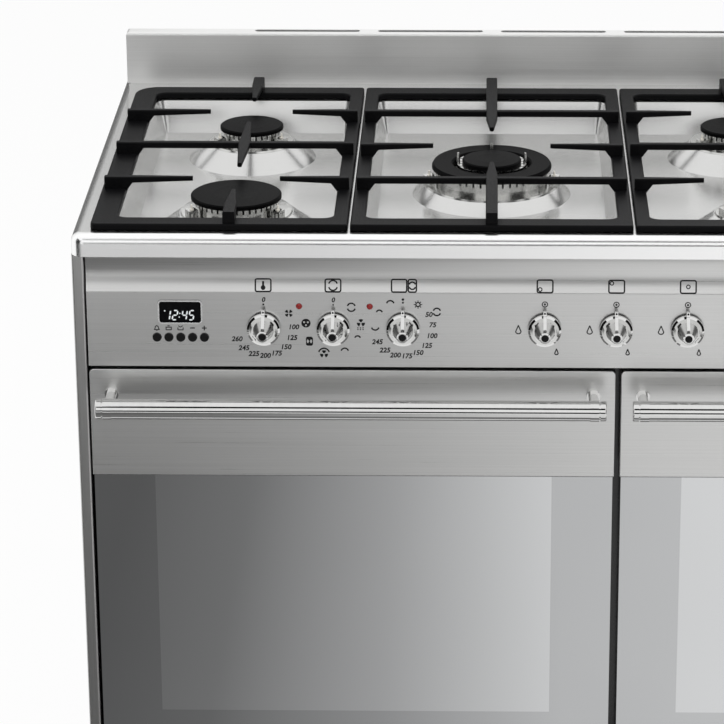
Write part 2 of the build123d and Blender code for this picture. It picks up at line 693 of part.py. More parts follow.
def knob(x):
    """Chrome knob: skirt ring, waisted cone with an inset nose, pointer fin and spindle."""
    ring_top = KNOB_GAP + KNOB_RING_H
    crown = KNOB_R - KNOB_BODY_R
    lower = Polyline((0, -STEM_END), (STEM_R, -STEM_END), (STEM_R, KNOB_GAP), (KNOB_R, KNOB_GAP),
                     (KNOB_R, ring_top - crown / 3), (KNOB_R - crown / 2, ring_top),
                     (KNOB_BODY_R, ring_top - KNOB_EDGE))
    flank = ThreePointArc((KNOB_BODY_R, ring_top - KNOB_EDGE), (KNOB_WAIST_R, KNOB_WAIST_H),
                          (KNOB_NOSE_R, KNOB_HEIGHT - KNOB_EDGE))
    nose = Polyline((KNOB_NOSE_R, KNOB_HEIGHT - KNOB_EDGE), (KNOB_NOSE_R - KNOB_EDGE, KNOB_HEIGHT),
                    (KNOB_INSERT_R, KNOB_HEIGHT),
                    (KNOB_INSERT_R, KNOB_HEIGHT - KNOB_INSERT_DEPTH), (0, KNOB_HEIGHT - KNOB_INSERT_DEPTH),
                    (0, -STEM_END))
    body = revolve(Plane.XZ * make_face(lower + flank + nose), Axis.Z)
    root, foot = KNOB_INSERT_R + KNOB_EDGE, KNOB_GAP + FIN_FOOT
    side = FilletPolyline((root, KNOB_HEIGHT - FIN_DROP), (KNOB_R, ring_top + FIN_FOOT), (FIN_TIP, ring_top),
                          (FIN_TIP, foot), (root, foot), radius=FIN_TIP_R, close=True)
    fin = extrude(Plane.YZ * make_face(side), FIN_T / 2, both=True)
    return [facing(x, 0, KNOB_Z) * (body + fin)]


def tap_plunger(x):
    """Spring plunger in a gas tap, pushed in through the knob spindle."""
    return [rod_y(PLUNGER_R, STEM_END, STEM_END + PLUNGER_LENGTH, x, KNOB_Z)]


def gas_tap(x):
    """Tap body with its spindle nose, plunger bore, outlet and neck down to the rail."""
    bore_end = STEM_END + PLUNGER_LENGTH + PUSH_TRAVEL + SPRING_ROOM
    tap = rod_y(TAP_R, TAP_SHOULDER, TAP_END, x, KNOB_Z)
    tap += rod_y(TAP_NOSE_R, TAP_NOSE_DEPTH, STEM_END, x, KNOB_Z)
    tap += rod_y(TAP_OUTLET_R, TAP_SHOULDER, TAP_END + TAP_OUTLET_LENGTH, x, KNOB_Z)
    tap += rod_z(TAP_NECK_R, x, RAIL_DEPTH, RAIL_Z, KNOB_Z)
    tap -= rod_y(STEM_R + RUN_FIT, TAP_NOSE_DEPTH, STEM_END, x, KNOB_Z)
    return tap - rod_y(PLUNGER_R + RUN_FIT, STEM_END, bore_end, x, KNOB_Z)


def gas_rail():
    """Manifold pipe with a tap for each burner, an elbow, and a run back to the threaded inlet."""
    end = BACK_DEPTH + INLET_LENGTH
    rail = rod_x(RAIL_R, RAIL_LEFT, RAIL_RIGHT_X, RAIL_DEPTH, RAIL_Z)
    rail += rod_y(RUN_R, RAIL_DEPTH, BACK_DEPTH, RAIL_RIGHT_X, RAIL_Z)
    rail += Pos(RAIL_RIGHT_X, fy(RAIL_DEPTH), RAIL_Z) * Sphere(ELBOW_R)
    for x in BURNER_KNOB_XS:
        rail += gas_tap(x)
    for gap in (0.5, BURNER_KNOBS - 1.5):
        x = BURNER_KNOB_X + gap * BURNER_KNOB_PITCH
        rail += block(x - RAIL_BRACKET / 2, x + RAIL_BRACKET / 2, RAIL_DEPTH + RAIL_BRACKET_SET,
                      RAIL_DEPTH + RAIL_BRACKET, FRAME_TOP, RAIL_Z)
    rail += rod_y(INLET_R, BACK_DEPTH - INLET_REACH, end, RAIL_RIGHT_X, RAIL_Z)
    return [rail - rod_y(INLET_BORE_R, end - INLET_BORE_LENGTH, end, RAIL_RIGHT_X, RAIL_Z)]


def oven_controls():
    """Thermostats and function switch fixed to the back of the fascia."""
    width, height, depth = CONTROL_SIZE
    bodies = []
    for x in OVEN_KNOB_XS:
        body = block(x - width / 2, x + width / 2, PANEL_INNER, PANEL_INNER + depth,
                     KNOB_Z - height / 2, KNOB_Z + height / 2)
        body = fillet(body.edges().filter_by(Axis.Y), CONTROL_EDGE_R)
        bodies.append(body - rod_y(STEM_R + RUN_FIT, PANEL_INNER, STEM_END + FREE_GAP, x, KNOB_Z))
    return bodies


def lug_spots(cap_r):
    """Places of the two probe lugs beside a burner."""
    reach = cap_r + LUG_REACH
    return [(s * reach * sin(radians(LUG_ANGLE)), -reach * cos(radians(LUG_ANGLE))) for s in (-1, 1)]


def wok_lug_spots():
    """Places of the two probe lugs beside the wok burner."""
    return [(WOK_LUG_R * cos(radians(a)), WOK_LUG_R * sin(radians(a))) for a in WOK_LUG_ANGLES]


def lugged(cup, spots, low, high):
    """Cup casting with a bored lug for each probe."""
    height = high - low
    lug = Box(LUG_SIZE, LUG_SIZE, height) + Cylinder(LUG_FOOT_R, height / 2)
    for u, v in spots:
        cup += Pos(u, v, low + height / 2) * Rot(0, 0, degrees(atan2(v, u))) * lug
        cup -= Pos(u, v, high) * Cylinder(PROBE_R, 2 * PROBE_SEAT)
    return cup


def burner_cups():
    """Cast cups through the hob: flange on the boss, probe lugs, mixing chamber and jet holder."""
    cups = []
    jet = Pos(0, 0, CUP_BOTTOM_Z) * Cylinder(JET_R, JET_H)
    for x, depth, cap_r, foot_r, ports in BURNERS.values():
        wall = cap_r - CUP_WALL_INSET
        flange_r = cap_r + CUP_FLANGE
        cup = turned((0, CUP_BOTTOM_Z), (wall / 2, CUP_BOTTOM_Z), (wall, CUP_BOTTOM_Z + JET_H),
                     (wall, BOSS_TOP_Z), (flange_r, BOSS_TOP_Z),
                     (flange_r - CUP_FLANGE_EDGE, BOSS_TOP_Z + CUP_FLANGE_T), (0, BOSS_TOP_Z + CUP_FLANGE_T))
        cups.append(standing(x, depth, 0) * lugged(cup + jet, lug_spots(cap_r), BOSS_TOP_Z, LUG_TOP_Z))
    wall = WOK_HOLE_R - CUP_HOLE_GAP
    wok = turned((0, CUP_BOTTOM_Z), (wall / 2, CUP_BOTTOM_Z), (wall, CUP_BOTTOM_Z + JET_H),
                 (wall, WOK_BOSS_Z), (WOK_BOSS_R, WOK_BOSS_Z),
                 (WOK_BOSS_R - CUP_FLANGE_EDGE, WOK_BOSS_Z + CUP_FLANGE_T), (0, WOK_BOSS_Z + CUP_FLANGE_T))
    wok = lugged(wok + jet, wok_lug_spots(), WOK_BOSS_Z, WOK_LUG_TOP_Z)
    cups.append(standing(0, BURNER_MIDDLE, 0) * wok)
    return cups


def ported_ring(outer, bore, low, high, ports):
    """Burner ring with radial flame ports along its upper edge."""
    ring = Pos(0, 0, (low + high) / 2) * (Cylinder(outer, high - low) - Cylinder(bore, high - low))
    length = outer - bore + 2 * PORT_OVERCUT
    port = Pos((outer + bore) / 2, 0, high - PORT_HEIGHT / 2) * Box(length, PORT_WIDTH, PORT_HEIGHT)
    return ring - [Rot(0, 0, 360 * (i + 0.5) / ports) * port for i in range(ports)]


def flame_spreaders():
    """Ported crowns of the five burners; the wok burner has an outer and an inner one."""
    crowns = []
    low = BOSS_TOP_Z + CUP_FLANGE_T
    for x, depth, cap_r, foot_r, ports in BURNERS.values():
        outer = cap_r - CROWN_INSET
        crown = ported_ring(outer, outer - CROWN_WALL, low, CAP_UNDER_Z, ports)
        foot = Pos(0, 0, low + CROWN_FOOT_H / 2) * Cylinder(outer - CROWN_FOOT_INSET, CROWN_FOOT_H)
        crowns.append(standing(x, depth, 0) * (crown + foot))
    seat = WOK_BOSS_Z + CUP_FLANGE_T
    ring_low = WOK_RING_TOP_Z - CAP_T
    outer = ported_ring(WOK_CROWN_R, WOK_CROWN_R - 2 * CROWN_WALL, seat, ring_low, WOK_PORTS)
    outer += Pos(0, 0, seat + CROWN_FOOT_H / 2) * Cylinder(WOK_CROWN_FOOT_R, CROWN_FOOT_H)
    inner_top = WOK_CAP_TOP_Z - CAP_T
    inner_low = seat + CROWN_FOOT_H
    inner = ported_ring(WOK_INNER_R, WOK_INNER_R - 2 * CROWN_WALL, inner_low, inner_top, WOK_INNER_PORTS)
    horn_low = inner_top - PORT_HEIGHT
    horn = turned((0, horn_low), (HORN_R, horn_low), (HORN_R, inner_top), (HORN_R / 2, HORN_TOP_Z),
                  (0, HORN_TOP_Z))
    inner += [Rot(0, 0, 360 * i / HORNS) * Pos(HORN_SPOT_R, 0, 0) * horn for i in range(HORNS)]
    crowns += [standing(0, BURNER_MIDDLE, 0) * outer, standing(0, BURNER_MIDDLE, 0) * inner]
    return crowns


def enamel_cap(radius, under, top, spigot_r):
    """Domed enamel lid with a spigot that centres it in its crown."""
    return turned((0, under - CAP_SPIGOT), (spigot_r, under - CAP_SPIGOT), (spigot_r, under),
                  (radius, under), (radius, top - CAP_EDGE_R), (radius - CAP_EDGE_R, top - CAP_EDGE_R / 3),
                  (radius / 2, top), (0, top))


def burner_caps():
    """Black enamelled lids of the burners, with the wok burner's outer ring."""
    caps = []
    for x, depth, cap_r, foot_r, ports in BURNERS.values():
        spigot = cap_r - CROWN_INSET - CROWN_WALL - FREE_GAP
        caps.append(standing(x, depth, 0) * enamel_cap(cap_r, CAP_UNDER_Z, CAP_UNDER_Z + CAP_T, spigot))
    ring_low = WOK_RING_TOP_Z - CAP_T
    ring = turned((WOK_RING_BORE_R, ring_low), (WOK_RING_R, ring_low), (WOK_RING_R, ring_low + CAP_T / 2),
                  (WOK_RING_R - CAP_EDGE_R, WOK_RING_TOP_Z), (WOK_RING_BORE_R + CAP_EDGE_R, WOK_RING_TOP_Z),
                  (WOK_RING_BORE_R, WOK_RING_TOP_Z - CAP_EDGE_R))
    spigot = WOK_INNER_R - 2 * CROWN_WALL - FREE_GAP
    inner = enamel_cap(WOK_CAP_R, WOK_CAP_TOP_Z - CAP_T, WOK_CAP_TOP_Z, spigot)
    caps += [standing(0, BURNER_MIDDLE, 0) * ring, standing(0, BURNER_MIDDLE, 0) * inner]
    return caps


def burner_probes():
    """Spark electrode and flame probe of each burner: ceramic pin with a bare metal tip."""
    pin = turned((0, -PROBE_SEAT), (PROBE_R, -PROBE_SEAT), (PROBE_R, PROBE_PROUD),
                 (PROBE_TIP_R, PROBE_PROUD), (PROBE_TIP_R, PROBE_PROUD + PROBE_TIP),
                 (0, PROBE_PROUD + PROBE_TIP))
    pins = []
    for x, depth, cap_r, foot_r, ports in BURNERS.values():
        pins += [standing(x + u, depth + v, LUG_TOP_Z) * pin for u, v in lug_spots(cap_r)]
    pins += [standing(u, BURNER_MIDDLE + v, WOK_LUG_TOP_Z) * pin for u, v in wok_lug_spots()]
    return pins


def rib(*stations):
    """Cast rib with rounded edges and a level top through x-depth stations of given width and height."""
    (x0, d0, *_), (x1, d1, *_) = stations[0], stations[-1]
    run = hypot(x1 - x0, d1 - d0)
    along = ((x1 - x0) / run, (d1 - d0) / run, 0)
    across = (-along[1], along[0], 0)
    sections = []
    for x, depth, width, height in stations:
        plane = Plane((x, fy(depth), RIB_TOP_Z), x_dir=across, z_dir=along)
        sections.append(plane * Pos(0, -height / 2) * RectangleRounded(width, height, RIB_EDGE_R))
    return loft(sections, ruled=True)


def support_frame(x0, x1, left_bar, right_bar, radii):
    """Flat cast frame with rounded window and four pads on the hob rim."""
    near, far = fy(SUPPORT_FRONT), fy(SUPPORT_BACK)
    outline = FilletPolyline((x0, near), (x1, near), (x1, far), (x0, far), radius=radii, close=True)
    plate = Pos(0, 0, FRAME_LOW_Z) * extrude(make_face(outline), FRAME_T)
    d0, d1 = SUPPORT_FRONT + FRAME_FRONT_BAR, SUPPORT_BACK - FRAME_BACK_BAR
    w0, w1 = x0 + left_bar, x1 - right_bar
    window = extrude(RectangleRounded(w1 - w0, d1 - d0, FRAME_WINDOW_R), FRAME_T, both=True)
    plate -= standing((w0 + w1) / 2, (d0 + d1) / 2, FRAME_LOW_Z) * window
    plate = fillet(plate.faces().sort_by(Axis.Z)[-1].edges(), FRAME_EDGE_R)
    for x in (x0 + FRAME_BIG_R, x1 - FRAME_BIG_R):
        for depth in (SUPPORT_FRONT + PAD_INSET, SUPPORT_BACK - PAD_INSET):
            plate += rod_z(PAD_R, x, depth, HOB_Z, FRAME_LOW_Z + FRAME_T / 2)
    return plate


def side_finger(edge, bar, depth, tip, tip_w, tip_h):
    """Rib from a side bar inwards: foot on the bar, haunch, then a taper to its tip."""
    way = 1 if tip > edge else -1
    root = edge + way * bar
    return rib((edge + way * RIB_END_GAP, depth, RIB_BAR_W, RIB_FOOT_H),
               (root, depth, RIB_BAR_W, RIB_FOOT_H),
               (root + way * RIB_HAUNCH, depth, RIB_BAR_W, RIB_BAR_H), (tip, depth, tip_w, tip_h))


def end_finger(x, edge, bar, tip, neck):
    """Rib from the front or rear bar over a burner, full width up to its neck."""
    way = 1 if tip > edge else -1
    root = edge + way * bar
    haunch = root + way * RIB_HAUNCH
    return rib((x, edge + way * RIB_END_GAP, LONG_W, RIB_FOOT_H), (x, root, LONG_W, RIB_FOOT_H),
               (x, haunch, LONG_W, RIB_BAR_H), (x, haunch + way * neck, LONG_W, RIB_BAR_H),
               (x, tip, RIB_TIP_W, RIB_TIP_H))


def span(x0, x1, left_bar, right_bar, depth):
    """Rib right across a frame, made of two that meet in the middle."""
    middle = (x0 + x1) / 2
    left = side_finger(x0, left_bar, depth, middle, RIB_BAR_W, RIB_BAR_H)
    return left + side_finger(x1, right_bar, depth, middle, RIB_BAR_W, RIB_BAR_H)


def side_support():
    """Left pan support: side fingers at both burners, a crossed span between, end fingers."""
    x0, x1 = -SUPPORT_OUTER_X, -SUPPORT_SPLIT_X - SUPPORT_GAP / 2
    frame = support_frame(x0, x1, FRAME_OUTER_BAR, FRAME_INNER_BAR,
                          [FRAME_SMALL_R, FRAME_SPLIT_R, FRAME_SPLIT_R, FRAME_BIG_R])
    middle = -BURNER_X
    for depth in (FINGER_FRONT, FINGER_BACK):
        frame += side_finger(x0, FRAME_OUTER_BAR, depth, middle - RIB_REACH, RIB_TIP_W, RIB_TIP_H)
        frame += side_finger(x1, FRAME_INNER_BAR, depth, middle + RIB_REACH, RIB_TIP_W, RIB_TIP_H)
    frame += span(x0, x1, FRAME_OUTER_BAR, FRAME_INNER_BAR, SPAN_RIB_DEPTH)
    for tip in (SPAN_RIB_DEPTH - SPAN_TIP, SPAN_RIB_DEPTH + SPAN_TIP):
        frame += rib((middle, SPAN_RIB_DEPTH, CROSS_W, RIB_BAR_H), (middle, tip, RIB_TIP_W, RIB_TIP_H))
    frame += end_finger(middle, SUPPORT_FRONT, FRAME_FRONT_BAR, FRONT_TIP, RIB_END_GAP)
    return frame + end_finger(middle, SUPPORT_BACK, FRAME_BACK_BAR, BACK_TIP, RIB_END_GAP)


def pan_support_left():
    """Left cast-iron grid."""
    return [side_support()]


def pan_support_right():
    """Right cast-iron grid, the mirror image."""
    return [mirror(side_support(), about=Plane.YZ)]


def pan_support_middle():
    """Middle grid: two spans, side fingers and long end fingers round the wok burner."""
    half = SUPPORT_SPLIT_X - SUPPORT_GAP / 2
    frame = support_frame(-half, half, FRAME_INNER_BAR, FRAME_INNER_BAR, [FRAME_SPLIT_R] * 4)
    for depth in WOK_SPAN_DEPTHS:
        frame += span(-half, half, FRAME_INNER_BAR, FRAME_INNER_BAR, depth)
    for sign in (-1, 1):
        frame += side_finger(sign * half, FRAME_INNER_BAR, WOK_FINGER_DEPTH, sign * WOK_SIDE_TIP,
                             RIB_TIP_W, RIB_TIP_H)
    for edge, bar, tip in ((SUPPORT_FRONT, FRAME_FRONT_BAR, WOK_FRONT_TIP),
                           (SUPPORT_BACK, FRAME_BACK_BAR, WOK_BACK_TIP)):
        frame += end_finger(0, edge, bar, tip, abs(tip - edge) - bar - RIB_HAUNCH - LONG_NECK)
    return [frame]


def hinge_xs(door):
    """Centres of a door's two hinge arms."""
    return (door[0] + HINGE_INSET, door[1] - HINGE_INSET)


def front_frame():
    """Front bulkhead with both oven mouths, slots for the hinge arms, shelf and sill."""
    frame = folded([(FRAME_DEPTH + FRAME_SILL, FRAME_BOTTOM), (FRAME_DEPTH, FRAME_BOTTOM),
                    (FRAME_DEPTH, FRAME_TOP), (FRAME_DEPTH + FRAME_SHELF, FRAME_TOP)],
                   -INNER_X, INNER_X, Side.RIGHT)
    for x, half in OVENS:
        mouth = extrude(oven_section(half, 0), FRAME_SILL / 2, both=True)
        frame -= facing(x, FRAME_DEPTH, OVEN_Z) * mouth
    for door in (DOOR_MAIN, DOOR_AUX):
        for x in hinge_xs(door):
            frame -= block(x - HINGE_ARM_T / 2, x + HINGE_ARM_T / 2, FRAME_DEPTH - SHEET, FRAME_BACK + SHEET,
                           HINGE_Z - HINGE_ARM_H / 2, HINGE_Z + HINGE_ARM_H / 2)
    return [frame]


def hinge_arms():
    """Four steel hinge arms hooked through the bulkhead, each with its pivot pin."""
    arms = []
    for door in (DOOR_MAIN, DOOR_AUX):
        for x in hinge_xs(door):
            x0, x1 = x - HINGE_ARM_T / 2, x + HINGE_ARM_T / 2
            half = HINGE_ARM_H / 2
            arm = block(x0, x1, HINGE_DEPTH, HINGE_ARM_TAIL, HINGE_Z - half, HINGE_Z + half)
            arm += rod_x(half, x0, x1, HINGE_DEPTH, HINGE_Z)
            arm += block(x0, x1, FRAME_BACK, FRAME_BACK + HINGE_ARM_H,
                         HINGE_Z - HINGE_ARM_H, HINGE_Z + HINGE_ARM_H)
            pin = HINGE_PIN_LENGTH / 2
            arm += rod_x(HINGE_PIN_R, x - pin, x + pin, HINGE_DEPTH, HINGE_Z)
            arms.append(arm)
    return arms


def oven_section(half, grow):
    """Cross-section of an oven, grown on all sides."""
    return RectangleRounded(2 * (half + grow), OVEN_H + 2 * grow, OVEN_CORNER_R + grow)


def oven_liner(x, half):
    """Enamelled box with a front lip on the bulkhead, rounded corners and a lamp hole in its roof."""
    place = facing(x, FRAME_BACK, OVEN_Z)
    length = OVEN_BACK - FRAME_BACK
    outer = extrude(oven_section(half, SHEET), -length - SHEET)
    lip = extrude(oven_section(half, OVEN_LIP), -SHEET)
    inner = extrude(oven_section(half, 0), -length)
    lamp = rod_z(OVEN_LAMP_BODY_R, lamp_x(x, half), OVEN_LAMP_DEPTH, OVEN_TOP - SHEET, OVEN_TOP + 2 * SHEET)
    return place * (outer + lip - inner) - lamp


def lamp_x(x, half):
    """Centre of an oven lamp, near the left wall."""
    return x - half + OVEN_LAMP_SIDE


def oven_liner_main():
    """Main oven cavity with the fan shaft hole."""
    shaft_hole = rod_y(FAN_HUB_R, OVEN_BACK - SHEET, OVEN_BACK + 2 * SHEET, MAIN_X, FAN_Z)
    return [oven_liner(MAIN_X, MAIN_HALF) - shaft_hole]


def oven_liner_aux():
    """Narrow oven cavity."""
    return [oven_liner(AUX_X, AUX_HALF)]


def insulation():
    """Mineral wool jackets round both liners, holed for lamps and fan motor."""
    jackets = []
    for x, half in OVENS:
        out = half + SHEET + WOOL_T
        back = OVEN_BACK + SHEET
        rise = OVEN_H / 2 + SHEET + WOOL_T
        jacket = block(x - out, x + out, WOOL_FRONT, back + WOOL_T, OVEN_Z - rise, OVEN_Z + rise)
        core = extrude(oven_section(half, SHEET), WOOL_FRONT - back)
        jacket -= facing(x, WOOL_FRONT, OVEN_Z) * core
        jacket -= rod_z(OVEN_LAMP_R, lamp_x(x, half), OVEN_LAMP_DEPTH, OVEN_TOP, OVEN_TOP + 2 * WOOL_T)
        jackets.append(jacket)
    jackets[0] -= rod_y(MOTOR_FLANGE_R, OVEN_BACK, MOTOR_END, MAIN_X, FAN_Z)
    return jackets


def door_seals():
    """Braided door seals on the bulkhead round each oven mouth."""
    rings = []
    depth = FRAME_DEPTH - DOOR_T - FREE_GAP
    for x, half in OVENS:
        ring = extrude(oven_section(half, SEAL_OFFSET + SEAL_WIDTH), depth)
        ring -= extrude(oven_section(half, SEAL_OFFSET), depth)
        ring = fillet(ring.faces().sort_by(Axis.Z)[-1].edges(), SEAL_EDGE_R)
        rings.append(facing(x, FRAME_DEPTH, OVEN_Z) * ring)
    return rings


def rack_levels():
    """Heights of the lower guide wires."""
    return [RACK_LOW + i * RACK_LEVEL_PITCH for i in range(RACK_LEVELS)]


def side_racks():
    """Chromed wire ladders on the side walls of both ovens."""
    ladders = []
    top = rack_levels()[-1] + 2 * RACK_PAIR
    for x, half in OVENS:
        for sign in (-1, 1):
            wire_x = x + sign * (half - RACK_WALL_GAP)
            post_x, wall = x + sign * (half - RACK_POST_GAP), x + sign * half
            ladder = rod_z(RACK_WIRE_R, post_x, RACK_FRONT, RACK_LOW - RACK_PAIR, top)
            ladder += rod_z(RACK_WIRE_R, post_x, RACK_BACK, RACK_LOW - RACK_PAIR, top)
            near, far = RACK_FRONT - RACK_PAIR, RACK_BACK + RACK_PAIR / 2
            for z in rack_levels():
                for level in (z, z + RACK_PAIR):
                    ladder += rod_y(RACK_WIRE_R, near, far, wire_x, level)
            for d in (RACK_FRONT, RACK_BACK):
                for z in (RACK_LOW - RACK_PAIR / 2, top - RACK_PAIR / 2):
                    ladder += rod_x(RACK_WIRE_R, min(post_x, wall), max(post_x, wall), d, z)
            ladders.append(ladder)
    return ladders


def shelf(x, half):
    """Wire shelf resting on the lower guide wires of one level."""
    z = rack_levels()[SHELF_LEVEL] + RACK_WIRE_R + SHELF_RAIL_R + FREE_GAP
    reach = half - SHELF_WALL_GAP
    grid = rod_x(SHELF_RAIL_R, x - reach, x + reach, SHELF_FRONT, z)
    for d in (SHELF_BACK, (SHELF_FRONT + SHELF_BACK) / 2):
        grid += rod_x(SHELF_RAIL_R, x - reach, x + reach, d, z)
    for sign in (-1, 1):
        grid += rod_y(SHELF_RAIL_R, SHELF_FRONT, SHELF_BACK, x + sign * reach, z)
        for d in (SHELF_FRONT, SHELF_BACK):
            grid += Pos(x + sign * reach, fy(d), z) * Sphere(SHELF_RAIL_R)
    bars = int((reach - SHELF_BAR_PITCH / 2) // SHELF_BAR_PITCH)
    for i in range(-bars, bars + 1):
        grid += rod_y(SHELF_BAR_R, SHELF_FRONT, SHELF_BACK, x + i * SHELF_BAR_PITCH, z + SHELF_RAIL_R)
    return grid


def oven_shelves():
    """One wire shelf in each oven."""
    return [shelf(x, half) for x, half in OVENS]


def heating_elements():
    """Serpentine grill tubes under both roofs and the ring round the fan."""
    tubes = []
    for (x, half), loops in zip(OVENS, GRILL_LOOPS):
        points = []
        left = x - (loops - 0.5) * GRILL_PITCH
        for i in range(2 * loops):
            run_x = left + i * GRILL_PITCH
            far = OVEN_BACK if i in (0, 2 * loops - 1) else COVER_DEPTH - WOOL_T
            ends = (far, GRILL_FRONT) if i % 2 == 0 else (GRILL_FRONT, far)
            points += [(run_x, d, GRILL_Z) for d in ends]
        tubes.append(tube(points, GRILL_R, GRILL_BEND))
    ring = CenterArc((0, 0), RING_R, RING_GAP_ANGLE - 90, 360 - 2 * RING_GAP_ANGLE)
    loop = sweep(Plane(ring @ 0, z_dir=ring % 0) * Circle(GRILL_R), ring)
    ring_solid = facing(MAIN_X, RING_DEPTH, FAN_Z) * loop
    for spot in (ring @ 0, ring @ 1):
        ring_solid += rod_y(GRILL_R, RING_DEPTH, OVEN_BACK, MAIN_X + spot.X, FAN_Z + spot.Y)
        ring_solid += facing(MAIN_X, RING_DEPTH, FAN_Z) * Pos(spot.X, spot.Y, 0) * Sphere(GRILL_R)
    tubes.append(ring_solid)
    return tubes


def fan_rotor():
    """Radial fan wheel with its shaft."""
    near, far = FAN_DEPTHS
    wheel = rod_y(FAN_R, far - SHEET, far, MAIN_X, FAN_Z)
    wheel += rod_y(FAN_HUB_R - FAN_HUB_GAP, near, far, MAIN_X, FAN_Z)
    wheel += rod_y(FAN_SHAFT_R, near - FAN_NUT_H, FAN_SHAFT_END, MAIN_X, FAN_Z)
    length = FAN_R - FAN_RIM_GAP - FAN_BLADE_START_R
    blade = Rot(0, 0, FAN_BLADE_ANGLE) * Box(length, SHEET, far - near)
    blade = Pos(FAN_BLADE_START_R + length / 2, 0, 0) * blade
    hub = facing(MAIN_X, (near + far) / 2, FAN_Z)
    return [wheel + [hub * Rot(0, 0, 360 * i / FAN_BLADES) * blade for i in range(FAN_BLADES)]]


def fan_motor():
    """Fan motor on the outside of the rear wall, bored for the shaft."""
    start = OVEN_BACK + SHEET
    motor = rod_y(MOTOR_FLANGE_R - FREE_GAP, start, start + MOTOR_FLANGE_T, MAIN_X, FAN_Z)
    motor += rod_y(MOTOR_R, start, MOTOR_END, MAIN_X, FAN_Z)
    return [motor - rod_y(FAN_SHAFT_R + RUN_FIT, start, FAN_SHAFT_END + FREE_GAP, MAIN_X, FAN_Z)]


def fan_cover():
    """Baffle in front of the fan with a perforated middle, side slots and standing edges."""
    half = MAIN_HALF - COVER_MARGIN
    rise = OVEN_H / 2 - COVER_MARGIN - GRILL_R
    plate = block(MAIN_X - half, MAIN_X + half, COVER_DEPTH, OVEN_BACK, OVEN_Z - rise,
                  OVEN_Z + rise - COVER_TOP_GAP)
    plate = fillet(plate.edges().filter_by(Axis.Y), OVEN_CORNER_R / 2)
    room = block(MAIN_X - half + SHEET, MAIN_X + half - SHEET, COVER_DEPTH + SHEET, OVEN_BACK,
                 OVEN_Z - rise + SHEET, OVEN_Z + rise - COVER_TOP_GAP - SHEET)
    plate -= room
    holes = []
    for radius, count in COVER_RINGS:
        for i in range(count):
            angle = radians(360 * i / count)
            holes.append(rod_y(COVER_HOLE_R, COVER_DEPTH - SHEET, COVER_DEPTH + 2 * SHEET,
                               MAIN_X + radius * cos(angle), FAN_Z + radius * sin(angle)))
    slot = extrude(SlotOverall(COVER_SLOT[1], COVER_SLOT[0], rotation=90), 2 * SHEET, both=True)
    pitch = COVER_SLOT[1] + COVER_SLOT_GAP
    for sign in (-1, 1):
        for i in range(COVER_SIDE_SLOTS):
            z = OVEN_Z + (i - (COVER_SIDE_SLOTS - 1) / 2) * pitch - COVER_TOP_GAP / 2
            holes.append(facing(MAIN_X + sign * (half - COVER_SLOT_INSET), COVER_DEPTH, z) * slot)
    return [plate - holes]


def oven_lamps():
    """Roof lamps: glass dome below the enamel, holder above."""
    lamps = []
    for x, half in OVENS:
        body_r = OVEN_LAMP_BODY_R - FREE_GAP
        lamp = turned((0, -OVEN_LAMP_DROP), (OVEN_LAMP_FLAT_R, -OVEN_LAMP_DROP),
                      (OVEN_LAMP_R, -OVEN_LAMP_RIM), (OVEN_LAMP_R, 0), (body_r, 0),
                      (body_r, OVEN_LAMP_BODY_H), (0, OVEN_LAMP_BODY_H))
        lamps.append(standing(lamp_x(x, half), OVEN_LAMP_DEPTH, OVEN_TOP) * lamp)
    return lamps


def door_panel(door):
    """Steel top strip of a door, wrapped over the top and the sides."""
    x0, x1 = door
    strip = block(x0, x1, 0, STRIP_RETURN, STRIP_BOTTOM, DOOR_TOP)
    strip = fillet(strip.edges().filter_by(Axis.Y).sort_by(Axis.Z)[-2:], STRIP_CORNER_R)
    strip = fillet(strip.faces().sort_by(Axis.Y)[0].edges(), STRIP_EDGE_R)
    room = block(x0 + SHEET, x1 - SHEET, SHEET, STRIP_RETURN, STRIP_BOTTOM, DOOR_TOP - SHEET)
    room = fillet(room.edges().filter_by(Axis.Y).sort_by(Axis.Z)[-2:], STRIP_CORNER_R - SHEET)
    return [strip - room]


def door_glass(door):
    """Outer pane below the strip and inner pane behind the chassis window."""
    x0, x1 = door
    outer = block(x0 + GLASS_SIDE, x1 - GLASS_SIDE, GLASS_FRONT, GLASS_FRONT + GLASS_T,
                  DOOR_BOTTOM + GLASS_SIDE, STRIP_BOTTOM - FREE_GAP)
    border = DOOR_WINDOW_BORDER - INNER_GLASS_LAP
    back = DOOR_T - CHASSIS_WALL
    inner = block(x0 + border, x1 - border, back - INNER_GLASS_T, back,
                  DOOR_WINDOW_BOTTOM - INNER_GLASS_LAP, DOOR_WINDOW_TOP + INNER_GLASS_LAP)
    return [outer, inner]


